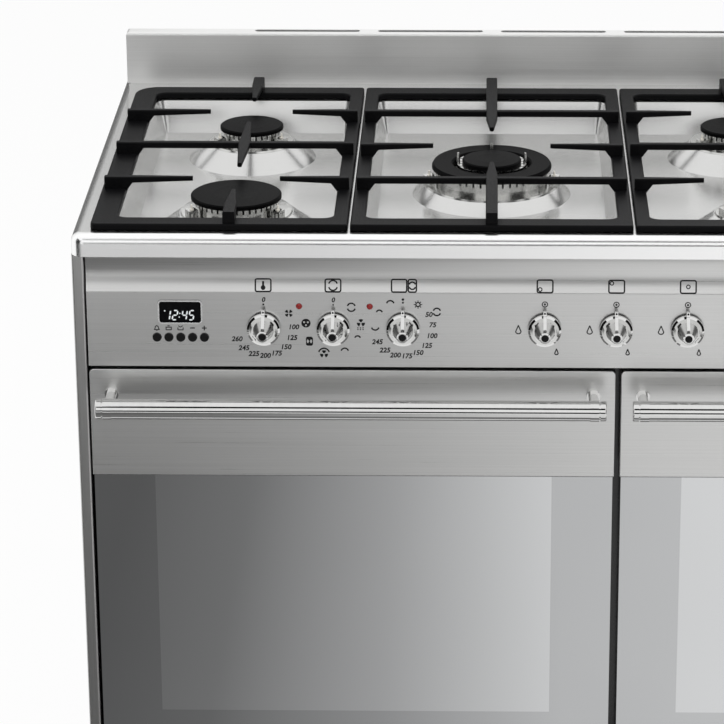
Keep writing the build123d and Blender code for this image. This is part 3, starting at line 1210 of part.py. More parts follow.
def door_chassis(door):
    """Folded inner door: pan open to the front, window, and housings that hold the hinge pins."""
    front = GLASS_FRONT + GLASS_T
    x0, x1 = door[0] + GLASS_SIDE, door[1] - GLASS_SIDE
    top = DOOR_TOP - SHEET
    pan = block(x0, x1, front, DOOR_T, DOOR_BOTTOM, top)
    pan = fillet(pan.edges().filter_by(Axis.Y).sort_by(Axis.Z)[-2:], STRIP_CORNER_R)
    pan -= block(x0 + CHASSIS_WALL, x1 - CHASSIS_WALL, front, DOOR_T - CHASSIS_WALL,
                 DOOR_BOTTOM + CHASSIS_WALL, top - CHASSIS_WALL)
    pan -= block(door[0] + DOOR_WINDOW_BORDER, door[1] - DOOR_WINDOW_BORDER, front, DOOR_T + SHEET,
                 DOOR_WINDOW_BOTTOM, DOOR_WINDOW_TOP)
    width, height = HINGE_HOUSING
    slot = HINGE_ARM_T / 2 + HINGE_SLOT_GAP
    half = HINGE_ARM_H / 2 + HINGE_SLOT_GAP
    for x in hinge_xs(door):
        pan += block(x - width / 2, x + width / 2, front, DOOR_T, DOOR_BOTTOM, DOOR_BOTTOM + height)
        pan -= block(x - slot, x + slot, HINGE_DEPTH - half, DOOR_T + SHEET,
                     DOOR_BOTTOM - SHEET, HINGE_Z + half)
        pan -= rod_x(HINGE_PIN_R + RUN_FIT, x - HINGE_PIN_LENGTH / 2 - FREE_GAP,
                     x + HINGE_PIN_LENGTH / 2 + FREE_GAP, HINGE_DEPTH, HINGE_Z)
    return [pan]


def door_handle(door):
    """Turned handle bar with end caps and collars, on two posts."""
    x0, x1 = door[0] + HANDLE_INSET, door[1] - HANDLE_INSET
    z = DOOR_TOP - HANDLE_DROP
    length = x1 - x0
    cap, groove, collar = CAP_LENGTH, CAP_LENGTH + GROOVE_LENGTH, CAP_LENGTH + GROOVE_LENGTH + COLLAR_LENGTH
    half = [(HANDLE_R, 0), (HANDLE_R, cap), (GROOVE_R, cap), (GROOVE_R, groove), (HANDLE_COLLAR_R, groove),
            (HANDLE_COLLAR_R, collar), (HANDLE_R, collar)]
    other = [(r, length - w) for r, w in reversed(half)]
    bar = turned((0, 0), *half, *other, (0, length))
    bar = fillet([bar.edges().sort_by(Axis.Z)[0], bar.edges().sort_by(Axis.Z)[-1]], CAP_END_R)
    bar = Pos(x0, fy(-HANDLE_STANDOFF), z) * Rot(0, 90, 0) * bar
    posts = []
    for x in (x0 + (groove + collar) / 2, x1 - (groove + collar) / 2):
        post = rod_y(POST_R, -HANDLE_STANDOFF, 0, x, z)
        post += rod_y(POST_FOOT_R, -POST_FOOT_T, 0, x, z)
        posts.append(post - rod_x(HANDLE_COLLAR_R, x - POST_FOOT_R, x + POST_FOOT_R, -HANDLE_STANDOFF, z))
    return [bar, *posts]


def storage_drawer():
    """Drawer front with a finger scoop in its top edge, and the steel tray behind it."""
    front = block(-PANEL_HALF, PANEL_HALF, 0, DRAWER_FRONT_T, DRAWER_BOTTOM, DRAWER_TOP)
    front = fillet(front.faces().sort_by(Axis.Y)[0].edges(), DRAWER_EDGE_R)
    front -= block(-PANEL_HALF + SHEET, PANEL_HALF - SHEET, SHEET, DRAWER_FRONT_T - SHEET,
                   DRAWER_BOTTOM, DRAWER_TOP - GRIP_DROP - SHEET)
    scoop = SlotOverall(GRIP_LENGTH, DRAWER_FRONT_T - 2 * GRIP_MARGIN)
    front -= standing(0, DRAWER_FRONT_T / 2, DRAWER_TOP - GRIP_DROP) * extrude(scoop, 2 * GRIP_DROP)
    tray = block(-DRAWER_HALF, DRAWER_HALF, DRAWER_FRONT_T, DRAWER_BACK, DRAWER_TRAY_BOTTOM, DRAWER_TRAY_TOP)
    rim_half = DRAWER_HALF + DRAWER_RIM
    tray += block(-rim_half, rim_half, DRAWER_FRONT_T + DRAWER_RIM, DRAWER_BACK,
                  DRAWER_TRAY_TOP - SHEET, DRAWER_TRAY_TOP)
    tray -= block(-DRAWER_HALF + SHEET, DRAWER_HALF - SHEET, DRAWER_FRONT_T + SHEET, DRAWER_BACK - SHEET,
                  DRAWER_TRAY_BOTTOM + SHEET, DRAWER_TRAY_TOP + SHEET)
    return [front, tray]


def terminal_box():
    """Mains connection box with its cable gland."""
    width, height, depth = TERMINAL_SIZE
    start = BACK_DEPTH + SHEET
    box = block(TERMINAL_X - width / 2, TERMINAL_X + width / 2, start, start + depth,
                TERMINAL_Z - height / 2, TERMINAL_Z + height / 2)
    box = fillet(box.faces().sort_by(Axis.Y)[-1].edges(), TERMINAL_EDGE_R)
    low = TERMINAL_Z - height / 2
    box += rod_z(GLAND_R, TERMINAL_X, start + depth / 2, low - GLAND_LENGTH, low)
    return [box - rod_z(GLAND_BORE_R, TERMINAL_X, start + depth / 2, low - GLAND_LENGTH, low)]


NODES = {
    "side_panels": side_panels,
    "back_panel": back_panel,
    "base_tray": base_tray,
    "plinth": plinth,
    "levelling_feet": levelling_feet,
    "hob_top": hob_top,
    "upstand": upstand,
    "control_panel": control_panel,
    "clock_module": clock_module,
    "indicator_lamps": indicator_lamps,
    "gas_rail": gas_rail,
    "oven_controls": oven_controls,
    "burner_cups": burner_cups,
    "flame_spreaders": flame_spreaders,
    "burner_caps": burner_caps,
    "burner_probes": burner_probes,
    "front_frame": front_frame,
    "hinge_arms": hinge_arms,
    "oven_liner_main": oven_liner_main,
    "oven_liner_aux": oven_liner_aux,
    "insulation": insulation,
    "door_seals": door_seals,
    "side_racks": side_racks,
    "oven_shelves": oven_shelves,
    "heating_elements": heating_elements,
    "fan_rotor": fan_rotor,
    "fan_motor": fan_motor,
    "fan_cover": fan_cover,
    "oven_lamps": oven_lamps,
    "pan_support_left": pan_support_left,
    "pan_support_middle": pan_support_middle,
    "pan_support_right": pan_support_right,
    "storage_drawer": storage_drawer,
    "terminal_box": terminal_box,
}

OVEN_KNOB_NAMES = ("thermostat_knob", "function_knob", "aux_oven_knob")


def write(name, solids):
    """One STEP file for a node of one or more solids."""
    shape = solids[0] if len(solids) == 1 else Compound(children=list(solids))
    export_step(shape, f"parts/{name}.step")


os.makedirs("parts", exist_ok=True)
for node, make in NODES.items():
    write(node, make())
for name, x in zip(OVEN_KNOB_NAMES, OVEN_KNOB_XS):
    write(name, knob(x))
for number, x in enumerate(BURNER_KNOB_XS, 1):
    write(f"burner_knob_{number}", knob(x))
    write(f"tap_plunger_{number}", tap_plunger(x))
for number, x in enumerate(button_xs(), 1):
    write(f"timer_button_{number}", timer_button(x))
for name, door in (("main", DOOR_MAIN), ("aux", DOOR_AUX)):
    write(f"door_{name}_panel", door_panel(door))
    write(f"door_{name}_glass", door_glass(door))
    write(f"door_{name}_chassis", door_chassis(door))
    write(f"door_{name}_handle", door_handle(door))
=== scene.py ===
import bpy
import json
import math
import numpy as np
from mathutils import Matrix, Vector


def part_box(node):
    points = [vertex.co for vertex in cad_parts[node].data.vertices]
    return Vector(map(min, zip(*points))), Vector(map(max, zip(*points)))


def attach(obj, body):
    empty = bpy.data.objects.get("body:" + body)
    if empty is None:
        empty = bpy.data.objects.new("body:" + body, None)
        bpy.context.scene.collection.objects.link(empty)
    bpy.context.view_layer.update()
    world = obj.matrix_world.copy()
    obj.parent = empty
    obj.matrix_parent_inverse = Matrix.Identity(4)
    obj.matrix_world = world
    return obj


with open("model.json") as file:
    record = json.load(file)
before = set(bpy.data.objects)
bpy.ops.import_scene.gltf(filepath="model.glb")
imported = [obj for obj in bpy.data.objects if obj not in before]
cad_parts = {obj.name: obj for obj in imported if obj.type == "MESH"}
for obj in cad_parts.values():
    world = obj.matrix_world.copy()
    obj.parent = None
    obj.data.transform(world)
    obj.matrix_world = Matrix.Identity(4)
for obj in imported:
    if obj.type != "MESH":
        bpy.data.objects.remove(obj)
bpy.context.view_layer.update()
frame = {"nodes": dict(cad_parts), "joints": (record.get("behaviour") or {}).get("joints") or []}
NODES = frame["nodes"]

MM = 0.001
# The plane of the fascia and door faces, in metres.
FACE_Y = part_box("door_main_panel")[0][1]


def middle(name):
    """Where the middle of a node lies from left to right, in mm to a hundredth."""
    low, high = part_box(name)
    return round((low[0] + high[0]) / 2 / MM, 2)


# Places on the fascia, in millimetres: the knobs' axes, from their joints, and the ruled boxes above them.
KNOB_JOINTS = [joint for joint in frame["joints"] if "_knob" in joint["child"]]
KNOB_X = {joint["child"]: joint["pos_m"][0] / MM for joint in KNOB_JOINTS}
KNOB_ROW = KNOB_JOINTS[0]["pos_m"][2] / MM
BOX_ROW = KNOB_ROW + 48.2
# The clock's window, which lies a little behind the face, and the pictograms over its buttons.
CLOCK_X, CLOCK_ROW = middle("clock_module"), 811.0
WINDOW_DEPTH = 0.4
BUTTON_ROW = 792.6
# The groove along the top of the fascia, from its crease up to the hob.
CREASE, FASCIA_TOP = 834.0, round(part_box("control_panel")[1][2] / MM, 2)
GROOVE_SAG = 4.0


def linear(code):
    """sRGB hex colour to linear red, green, blue and alpha."""
    parts = np.array([int(code[i:i + 2], 16) for i in (1, 3, 5)]) / 255
    low = parts / 12.92
    high = ((parts + 0.055) / 1.055) ** 2.4
    return (*np.where(parts <= 0.04045, low, high), 1.0)


def add(tree, kind, sockets=None, stops=(), **settings):
    """Adds one shader node: sockets are its values or the outputs linked to it, stops a colour ramp's
    (position, hex) pairs, and settings its other properties."""
    made = tree.nodes.new("ShaderNode" + kind)
    for key, value in settings.items():
        setattr(made, key, value)
    for key, value in (sockets or {}).items():
        if isinstance(value, bpy.types.NodeSocket):
            tree.links.new(value, made.inputs[key])
        else:
            made.inputs[key].default_value = value
    if stops:
        ramp = made.color_ramp.elements
        ramp[0].position, ramp[-1].position = stops[0][0], stops[-1][0]
        for position, _ in stops[1:-1]:
            ramp.new(position)
        for element, (_, code) in zip(ramp, stops):
            element.color = linear(code)
    return made


def cleared(block):
    """The emptied node tree of a material or a world."""
    block.use_nodes = True
    block.node_tree.nodes.clear()
    return block.node_tree


def blank(name, sockets):
    """A new material with a Principled surface and its constants: returns it, its tree and the shader."""
    made = bpy.data.materials.new(name)
    tree = cleared(made)
    shader = add(tree, "BsdfPrincipled", sockets)
    add(tree, "OutputMaterial", {"Surface": shader.outputs[0]})
    return made, tree, shader


def brushed_stainless(name, along, low, high, rough, streak=(400.0, 0.9), relief=1.0):
    """Stainless sheet drawn through abrasive belts: fine scratches along one axis, over a satin base with
    clouds of about 170 mm. streak is a scratch's length in mm and how many lie side by side in a mm. A real
    scratch is about 0.05 mm wide; here it is near 1 mm, so that it shows in the render."""
    made, tree, shader = blank(name, {"Metallic": 1.0})
    coords = add(tree, "TexCoord").outputs["Object"]
    length, count = streak
    scale = [1 / (length * MM) if axis == along else count / MM for axis in "xyz"]
    mapped = add(tree, "Mapping", {"Vector": coords, "Scale": scale}).outputs[0]
    scratch = add(tree, "TexNoise", {"Vector": mapped, "Scale": 1.0, "Detail": 4.0,
                                     "Roughness": 0.7}).outputs["Fac"]
    cloud = add(tree, "TexNoise", {"Vector": coords, "Scale": 0.006 / MM, "Detail": 2.0}).outputs["Fac"]
    both = add(tree, "Mix", {"Factor": 0.25, "A": scratch, "B": cloud}).outputs[0]
    tone = add(tree, "ValToRGB", {"Fac": both}, ((0.32, low), (0.68, high))).outputs["Color"]
    tree.links.new(tone, shader.inputs["Base Color"])
    span = add(tree, "MapRange", {"Value": scratch, "From Min": 0.3, "From Max": 0.7,
                                  "To Min": rough - 0.03 * relief,
                                  "To Max": rough + 0.04 * relief}).outputs[0]
    tree.links.new(span, shader.inputs["Roughness"])
    lift = add(tree, "Bump", {"Height": scratch, "Strength": 0.03 * relief,
                              "Distance": 0.3 * MM}).outputs[0]
    tree.links.new(lift, shader.inputs["Normal"])
    return made


def paint_lip_highlight(made):
    """The worktop's front lip has a painted highlight: from 14 to 6 mm behind its front edge the tone of
    the sheet goes up to white, in place of the light that falls on the lip."""
    tree = made.node_tree
    shader = next(node for node in tree.nodes if node.type == "BSDF_PRINCIPLED")
    sheet = shader.inputs["Base Color"].links[0].from_socket
    coords = add(tree, "TexCoord").outputs["Object"]
    depth = add(tree, "SeparateXYZ", {"Vector": coords}).outputs["Y"]
    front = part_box("hob_top")[0][1]
    share = add(tree, "MapRange", {"Value": depth, "From Min": front + 14 * MM,
                                   "From Max": front + 6 * MM}).outputs[0]
    # Painted highlight: towards the front edge the sheet's tone is mixed up to white.
    mixed = add(tree, "Mix", {"Factor": share, "A": sheet, "B": linear("#FFFFFF")}, data_type="RGBA")
    tree.links.new(mixed.outputs["Result"], shader.inputs["Base Color"])
    return made


def grained(name, low, high, grain, detail, rough, bump, depth, sockets):
    """A surface whose tone, gloss and height follow one noise: grain is its size in mm, rough the span of
    its roughness, and depth the height of its bumps as a share of the grain."""
    made, tree, shader = blank(name, sockets)
    coords = add(tree, "TexCoord").outputs["Object"]
    noise = add(tree, "TexNoise", {"Vector": coords, "Scale": 1 / (grain * MM),
                                   "Detail": detail}).outputs["Fac"]
    tone = add(tree, "ValToRGB", {"Fac": noise}, ((0.3, low), (0.7, high))).outputs["Color"]
    tree.links.new(tone, shader.inputs["Base Color"])
    span = add(tree, "MapRange", {"Value": noise, "From Min": 0.3, "From Max": 0.7,
                                  "To Min": rough[0], "To Max": rough[1]}).outputs[0]
    tree.links.new(span, shader.inputs["Roughness"])
    lift = add(tree, "Bump", {"Height": noise, "Strength": bump, "Distance": depth * grain * MM}).outputs[0]
    tree.links.new(lift, shader.inputs["Normal"])
    return made


def plain_metal(name, low, high, rough, grain, bump=0.04):
    """Cast, plated or rolled metal with a slightly uneven tone."""
    span = (rough * 0.8, rough * 1.25)
    return grained(name, low, high, grain, 3.0, span, bump, 0.2, {"Metallic": 1.0})


def coated(name, low, high, rough, grain, bump, coat=0.0, ior=1.5):
    """Enamel, moulding or fibre: a dielectric with a fine surface grain under an optional gloss."""
    span = (rough * 0.85, rough * 1.2)
    gloss = {"IOR": ior, "Coat Weight": coat, "Coat Roughness": 0.08}
    return grained(name, low, high, grain, 4.0, span, bump, 0.3, gloss)


def lens_red():
    """Moulded acrylic jewel over a neon lamp: deep red with facets of about 1 mm, which glows a little."""
    made, tree, shader = blank("red_acrylic_jewel", {
        "Roughness": 0.12, "Coat Weight": 0.5,
        "Emission Color": linear("#B01412"), "Emission Strength": 0.05})
    coords = add(tree, "TexCoord").outputs["Object"]
    facets = add(tree, "TexVoronoi", {"Vector": coords, "Scale": 0.9 / MM}).outputs["Distance"]
    tone = add(tree, "ValToRGB", {"Fac": facets}, ((0.0, "#A5221F"), (0.7, "#6E1011"))).outputs["Color"]
    tree.links.new(tone, shader.inputs["Base Color"])
    return made


def mirror_glass():
    """Oven door glass with a vapour-coated, half-mirrored face and a haze some 330 mm wide. The window in
    the middle of each pane is the bare coating; at its sides and below it a fired dark border lies behind
    the glass and drops the reflection a little."""
    side_border, border_top = 66.5 * MM, 335.0 * MM
    made, tree, shader = blank("coated_door_glass", {"Metallic": 1.0, "Roughness": 0.06})
    coords = add(tree, "TexCoord").outputs["Object"]
    place = add(tree, "SeparateXYZ", {"Vector": coords}).outputs
    window = add(tree, "Math", {0: place["Z"], 1: border_top}, operation="GREATER_THAN").outputs[0]
    panes = []
    for name in ("door_main_glass", "door_aux_glass"):
        low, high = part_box(name)
        mid, reach = (low[0] + high[0]) / 2, (high[0] - low[0]) / 2 - side_border
        off = add(tree, "Math", {0: place["X"], 1: mid}, operation="SUBTRACT").outputs[0]
        off = add(tree, "Math", {0: off}, operation="ABSOLUTE").outputs[0]
        panes.append(add(tree, "Math", {0: off, 1: reach}, operation="LESS_THAN").outputs[0])
    across = add(tree, "Math", dict(enumerate(panes)), operation="MAXIMUM").outputs[0]
    window = add(tree, "Math", {0: across, 1: window}, operation="MULTIPLY").outputs[0]
    haze = add(tree, "TexNoise", {"Vector": coords, "Scale": 0.003 / MM, "Detail": 2.0}).outputs["Fac"]
    pane = add(tree, "ValToRGB", {"Fac": haze}, ((0.3, "#D8D9DA"), (0.7, "#DCDDDE"))).outputs["Color"]
    border = add(tree, "ValToRGB", {"Fac": haze}, ((0.3, "#C2C3C4"), (0.7, "#C7C8C9"))).outputs["Color"]
    mixed = add(tree, "Mix", {"Factor": window, "A": border, "B": pane}, data_type="RGBA")
    tree.links.new(mixed.outputs["Result"], shader.inputs["Base Color"])
    return made


def threaded_brass():
    """Brass of the gas rail, with a mottle of 3 mm. Behind the rear sheet its inlet has a cut thread: a
    sine ridge of 1.8 mm pitch."""
    pitch = 1.8 * MM
    made, tree, shader = blank("threaded_brass", {"Metallic": 1.0, "Roughness": 0.28})
    coords = add(tree, "TexCoord").outputs["Object"]
    noise = add(tree, "TexNoise", {"Vector": coords, "Scale": 0.33 / MM, "Detail": 3.0}).outputs["Fac"]
    tone = add(tree, "ValToRGB", {"Fac": noise}, ((0.3, "#B8913F"), (0.7, "#D0AC5C"))).outputs["Color"]
    tree.links.new(tone, shader.inputs["Base Color"])
    behind = add(tree, "SeparateXYZ", {"Vector": coords}).outputs["Y"]
    phase = add(tree, "Math", {0: behind, 1: 2 * math.pi / pitch}, operation="MULTIPLY").outputs[0]
    ridge = add(tree, "Math", {0: phase}, operation="SINE").outputs[0]
    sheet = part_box("back_panel")[1][1]
    cut = add(tree, "Math", {0: behind, 1: sheet}, operation="GREATER_THAN").outputs[0]
    height = add(tree, "Math", {0: ridge, 1: cut}, operation="MULTIPLY").outputs[0]
    lift = add(tree, "Bump", {"Height": height, "Strength": 0.8, "Distance": 0.5 * MM}).outputs[0]
    tree.links.new(lift, shader.inputs["Normal"])
    return made


def lit_display():
    """Glowing figures behind the clock window: an even, faintly cool white with a grain of 1.4 mm."""
    made, tree, shader = blank("lit_display", {
        "Base Color": linear("#1A1C1D"), "Emission Strength": 0.9})
    coords = add(tree, "TexCoord").outputs["Object"]
    noise = add(tree, "TexNoise", {"Vector": coords, "Scale": 0.7 / MM}).outputs["Fac"]
    tone = add(tree, "ValToRGB", {"Fac": noise}, ((0.3, "#E2E8EA"), (0.7, "#F1F4F5"))).outputs["Color"]
    tree.links.new(tone, shader.inputs["Emission Color"])
    return made


def lamp_glass():
    """Heat-proof pressed glass dome of an oven lamp, faintly frosted with a grain of 4 mm."""
    made, tree, shader = blank("pressed_lamp_glass", {"Roughness": 0.15, "Transmission Weight": 0.6})
    coords = add(tree, "TexCoord").outputs["Object"]
    noise = add(tree, "TexNoise", {"Vector": coords, "Scale": 0.25 / MM}).outputs["Fac"]
    tone = add(tree, "ValToRGB", {"Fac": noise}, ((0.3, "#E9E4D6"), (0.7, "#F4F0E6"))).outputs["Color"]
    tree.links.new(tone, shader.inputs["Base Color"])
    return made


# Stainless sheet, belt-brushed left to right: fascia, door strips, drawer and plinth.
FRONT_STEEL = brushed_stainless("brushed_stainless_front", "x", "#D2D2D1", "#DDDDDC", 0.30)
# The same sheet on the upstand, drawn coarser, so that it scatters more, and painted a lighter tone than on
# the fascia for the light that falls on it.
PAINTED_LIGHT_UPSTAND_STEEL = brushed_stainless("brushed_stainless_upstand_painted_light", "x", "#EDEDEC", "#F7F7F6", 0.44)
# The same sheet brushed top to bottom on the outer walls, painted a darker tone than on the fascia as shade
# against their bright reflections.
PAINTED_SHADE_SIDE_STEEL = brushed_stainless("brushed_stainless_sides_painted_shade", "z", "#AEAEAD", "#BDBDBC", 0.32)
# Pressed worktop, polished finer, so that it mirrors the burners softly, with a painted highlight that
# whitens its front lip.
HOB_STEEL = paint_lip_highlight(brushed_stainless("satin_stainless_hob", "x", "#D8D8D7", "#DCDCDB", 0.24,
                                       (200.0, 0.7), 0.35))
# Zinc-coated sheet with a faint spangle, behind and below.
ZINC = plain_metal("galvanised_sheet", "#8E9294", "#A9ADAF", 0.42, 9.0)
# Bright nickel-chrome plate on knobs and handles, mirror smooth.
CHROME = plain_metal("polished_chrome", "#DCDCDB", "#E0E0DF", 0.05, 6.0, 0.002)
# Die-cast aluminium of the burners, tumbled bright.
ALUMINIUM = plain_metal("die_cast_aluminium", "#C9C9C7", "#D8D8D6", 0.17, 7.0, 0.02)
# Machined brass of the tap plungers.
BRASS = plain_metal("machined_brass", "#B8913F", "#D0AC5C", 0.28, 3.0)
# Oxidised alloy sheath of the grill and ring elements.
ELEMENT = plain_metal("heat_blued_alloy", "#33302E", "#57504B", 0.45, 5.0)
# Nickel-plated shelf and rack wire.
WIRE = plain_metal("plated_wire", "#BFBFBE", "#D4D4D3", 0.16, 5.0)
# Cast iron under matt vitreous enamel: near-black with the fine grain of the sand mould.
IRON = coated("matt_enamelled_cast_iron", "#070708", "#0E0E0F", 0.44, 1.6, 0.20, ior=1.16)
# Pressed burner lids under satin black enamel, smoother than the castings.
LID = coated("satin_black_enamel", "#050506", "#090909", 0.42, 1.2, 0.06, ior=1.10)
# Oven lining: dark grey vitreous enamel with a sprayed speckle.
LINING = coated("speckled_oven_enamel", "#1E1F22", "#34363A", 0.22, 1.2, 0.06, 0.3)
# Glazed alumina of the spark and flame probes.
CERAMIC = coated("glazed_alumina", "#DAD6CC", "#ECE9E1", 0.20, 2.0, 0.03, 0.4)
# Thermoset mouldings: switch bodies, terminal box, clock buttons and knob inserts.
MOULDING = coated("black_thermoset", "#0A0A0B", "#111112", 0.36, 0.8, 0.08, ior=1.28)
# Clear-coated black moulding of the clock with its dark window.
CLOCK = coated("gloss_black_acrylic", "#040406", "#08080A", 0.12, 4.0, 0.01, ior=1.22)
# Rock wool around the ovens: matted yellow-brown fibre.
WOOL = coated("mineral_wool", "#8C7A4E", "#B29F6E", 0.95, 4.0, 0.8)
# Glass-fibre braid of the door seals.
BRAID = coated("glass_fibre_braid", "#1B1B1B", "#303030", 0.85, 1.6, 0.6)
# Black enamel ink, screen printed on the fascia and fired.
INK = coated("fired_black_ink", "#0E0E0F", "#161617", 0.45, 0.6, 0.03, ior=1.30)
# Powder-coated steel of the feet.
POWDER = coated("black_powder_coat", "#161617", "#232324", 0.45, 1.0, 0.2)
# Half-mirrored glass of both oven doors.
DOOR_GLASS = mirror_glass()
# Lit figures of the clock.
GLOW = lit_display()

FINISHES = {
    "side_panels": PAINTED_SHADE_SIDE_STEEL, "back_panel": ZINC, "base_tray": ZINC, "plinth": FRONT_STEEL,
    "levelling_feet": POWDER, "hob_top": HOB_STEEL, "upstand": PAINTED_LIGHT_UPSTAND_STEEL,
    "control_panel": FRONT_STEEL, "clock_module": CLOCK, "indicator_lamps": lens_red(),
    "gas_rail": threaded_brass(), "oven_controls": MOULDING, "burner_cups": ALUMINIUM,
    "flame_spreaders": ALUMINIUM, "burner_caps": LID, "burner_probes": CERAMIC,
    "front_frame": LINING, "hinge_arms": ZINC, "oven_liner_main": LINING, "oven_liner_aux": LINING,
    "insulation": WOOL, "door_seals": BRAID, "side_racks": WIRE, "oven_shelves": WIRE,
    "heating_elements": ELEMENT, "fan_rotor": ZINC, "fan_motor": ZINC, "fan_cover": LINING,
    "oven_lamps": lamp_glass(), "pan_support_left": IRON, "pan_support_middle": IRON,
    "pan_support_right": IRON, "storage_drawer": FRONT_STEEL, "terminal_box": MOULDING,
}
for name in KNOB_X:
    FINISHES[name] = CHROME
for number in range(1, 6):
    FINISHES[f"tap_plunger_{number}"] = BRASS
    FINISHES[f"timer_button_{number}"] = MOULDING
for door in ("main", "aux"):
    FINISHES[f"door_{door}_panel"] = FRONT_STEEL
    FINISHES[f"door_{door}_glass"] = DOOR_GLASS
    FINISHES[f"door_{door}_chassis"] = LINING
    FINISHES[f"door_{door}_handle"] = CHROME
for name, finish in FINISHES.items():
    NODES[name].data.materials.clear()
    NODES[name].data.materials.append(finish)


def fascia_depth(z):
    """Depth in mm of the fascia's skin behind its face at height z: nothing on the flat, and on the groove
    from the crease to the top the sag of a circular arc."""
    half, mid = (FASCIA_TOP - CREASE) / 2, (FASCIA_TOP + CREASE) / 2
    radius = (half ** 2 + GROOVE_SAG ** 2) / (2 * GROOVE_SAG)
    off = np.clip(np.asarray(z) - mid, -half, half)
    return GROOVE_SAG - radius + np.sqrt(radius ** 2 - off ** 2)


def resampled(points, step=1.2):
    """Points added along a line of points so that no stretch is longer than step millimetres."""
    points = np.asarray(points, float)
    spans = np.hypot(*np.diff(points, axis=0).T)
    walked = np.concatenate([[0.0], np.cumsum(spans)])
    even = np.linspace(0, walked[-1], int(walked[-1] / step) + 2)
    marks = np.unique(np.concatenate([walked, even]))
    return np.column_stack([np.interp(marks, walked, points[:, i]) for i in range(2)])


def stroke(points, width, closed=False):
    """Inked line: each point is moved half the width to both sides, along the mean normal of its two
    stretches, and faces join the two rows."""
    points = np.asarray(points, float)
    if closed:
        points = np.vstack([points, points[:1]])
    line = resampled(points)
    ahead = np.gradient(line, axis=0)
    if closed:
        ahead[0] = ahead[-1] = line[1] - line[-2]
    ahead /= np.hypot(*ahead.T)[:, None]
    normal = np.column_stack([-ahead[:, 1], ahead[:, 0]]) * width / 2
    count = len(line)
    first = np.arange(count - 1)
    faces = np.column_stack([first, first + 1, first + 1 + count, first + count])
    return np.vstack([line + normal, line - normal]), faces.tolist()


def circle(x, z, radius, start=0.0, sweep=360.0, count=25):
    """Points on an arc: the centre plus the radius times cosine and sine, in degrees from the right."""
    angle = np.radians(start + np.linspace(0, sweep, count))
    return np.column_stack([x + radius * np.cos(angle), z + radius * np.sin(angle)])


def filled(points):
    """One flat patch inside an outline."""
    return np.asarray(points, float), [list(range(len(points)))]


def spot(x, z, radius):
    """One round patch."""
    return filled(circle(x, z, radius))


def rounded_box(x, z, width, height, radius):
    """Outline of a box with round corners: four quarter arcs joined."""
    corners = ((1, 1, 0), (-1, 1, 90), (-1, -1, 180), (1, -1, 270))
    across, up = width / 2 - radius, height / 2 - radius
    return np.vstack([circle(x + sx * across, z + sz * up, radius, turn, 90, 6)
                      for sx, sz, turn in corners])


def numerals(text, x, z, height=5.4):
    """Slanted dial figures, filled and centred on a point: a text is made a mesh and then moved there."""
    cap_share, weight, slant = 0.7, 0.042, 0.18
    curve = bpy.data.curves.new("figures", "FONT")
    curve.body = text
    curve.size = height / cap_share
    curve.offset = height * weight
    curve.shear = slant
    curve.resolution_u = 3
    curve.align_x, curve.align_y = "CENTER", "CENTER"
    holder = bpy.data.objects.new("figures", curve)
    mesh = bpy.data.meshes.new_from_object(holder)
    flat = np.empty(len(mesh.vertices) * 3)
    mesh.vertices.foreach_get("co", flat)
    faces = [list(polygon.vertices) for polygon in mesh.polygons]
    bpy.data.objects.remove(holder)
    bpy.data.meshes.remove(mesh)
    return flat.reshape(-1, 3)[:, :2] + (x, z), faces


def clock_digit(char, x, z):
    """Seven-bar figure leaning to the right. Each lit bar is a long hexagon, twice half_bar thick, that
    stops a gap short of the corners."""
    width, height, half_bar, gap, lean = 4.7, 10.6, 0.75, 0.35, 0.16
    lit = {"1": "bc", "2": "abged", "4": "fgbc", "5": "afgcd"}[char]
    half = height / 2
    ends = {"a": ((0, height), (width, height)), "b": ((width, height), (width, half)),
            "c": ((width, half), (width, 0)), "d": ((0, 0), (width, 0)), "e": ((0, half), (0, 0)),
            "f": ((0, height), (0, half)), "g": ((0, half), (width, half))}
    shapes = []
    for bar in lit:
        start, end = (np.array(point, float) for point in ends[bar])
        along = (end - start) / np.hypot(*(end - start))
        start, end = start + along * gap, end - along * gap
        along *= half_bar
        across = np.array([-along[1], along[0]])
        outline = np.array([start, start + along + across, end - along + across,
                            end, end - along - across, start + along - across])
        outline[:, 0] += outline[:, 1] * lean
        shapes.append(filled(outline + (x, z)))
    return shapes


def shaped(name, points, faces, finish, body):
    """A piece from its points in metres and its faces: it rides on a body and takes a slot's finish."""
    mesh = bpy.data.meshes.new(name)
    mesh.from_pydata(np.asarray(points).tolist(), [], faces)
    mesh.update()
    made = bpy.data.objects.new(name, mesh)
    bpy.context.scene.collection.objects.link(made)
    made.data.materials.append(finish)
    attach(made, body)


def printed(name, shapes, finish, body, depth=fascia_depth, lift=0.2):
    """Flat marks given as (x, z) millimetres, laid at the depth that their height gives and raised a
    little, so that they clear the facets of the curved skin. Where the signed area of a mark is negative,
    its faces are turned over, so that all look at the user."""
    points, faces, base = [], [], 0
    for flat, polygons in shapes:
        x, z = flat.T
        behind = depth(z) + np.zeros(len(flat))
        points.append(np.column_stack([x * MM, FACE_Y + (behind - lift) * MM, z * MM]))
        area = sum(np.sum(x[p] * np.roll(z[p], -1) - z[p] * np.roll(x[p], -1)) for p in polygons)
        way = 1 if area > 0 else -1
        faces += [(base + np.array(p)[::way]).tolist() for p in polygons]
        base += len(flat)
    shaped(name, np.vstack(points), faces, finish, body)


def ring_faces(rings, spokes):
    """Faces between neighbouring rings of points: along one ring and back along the next."""
    ring, step = np.meshgrid(np.arange(rings - 1), np.arange(spokes), indexing="ij")
    here, beside = ring * spokes + step, ring * spokes + (step + 1) % spokes
    return np.stack([here, beside, beside + spokes, here + spokes], axis=-1).reshape(-1, 4)


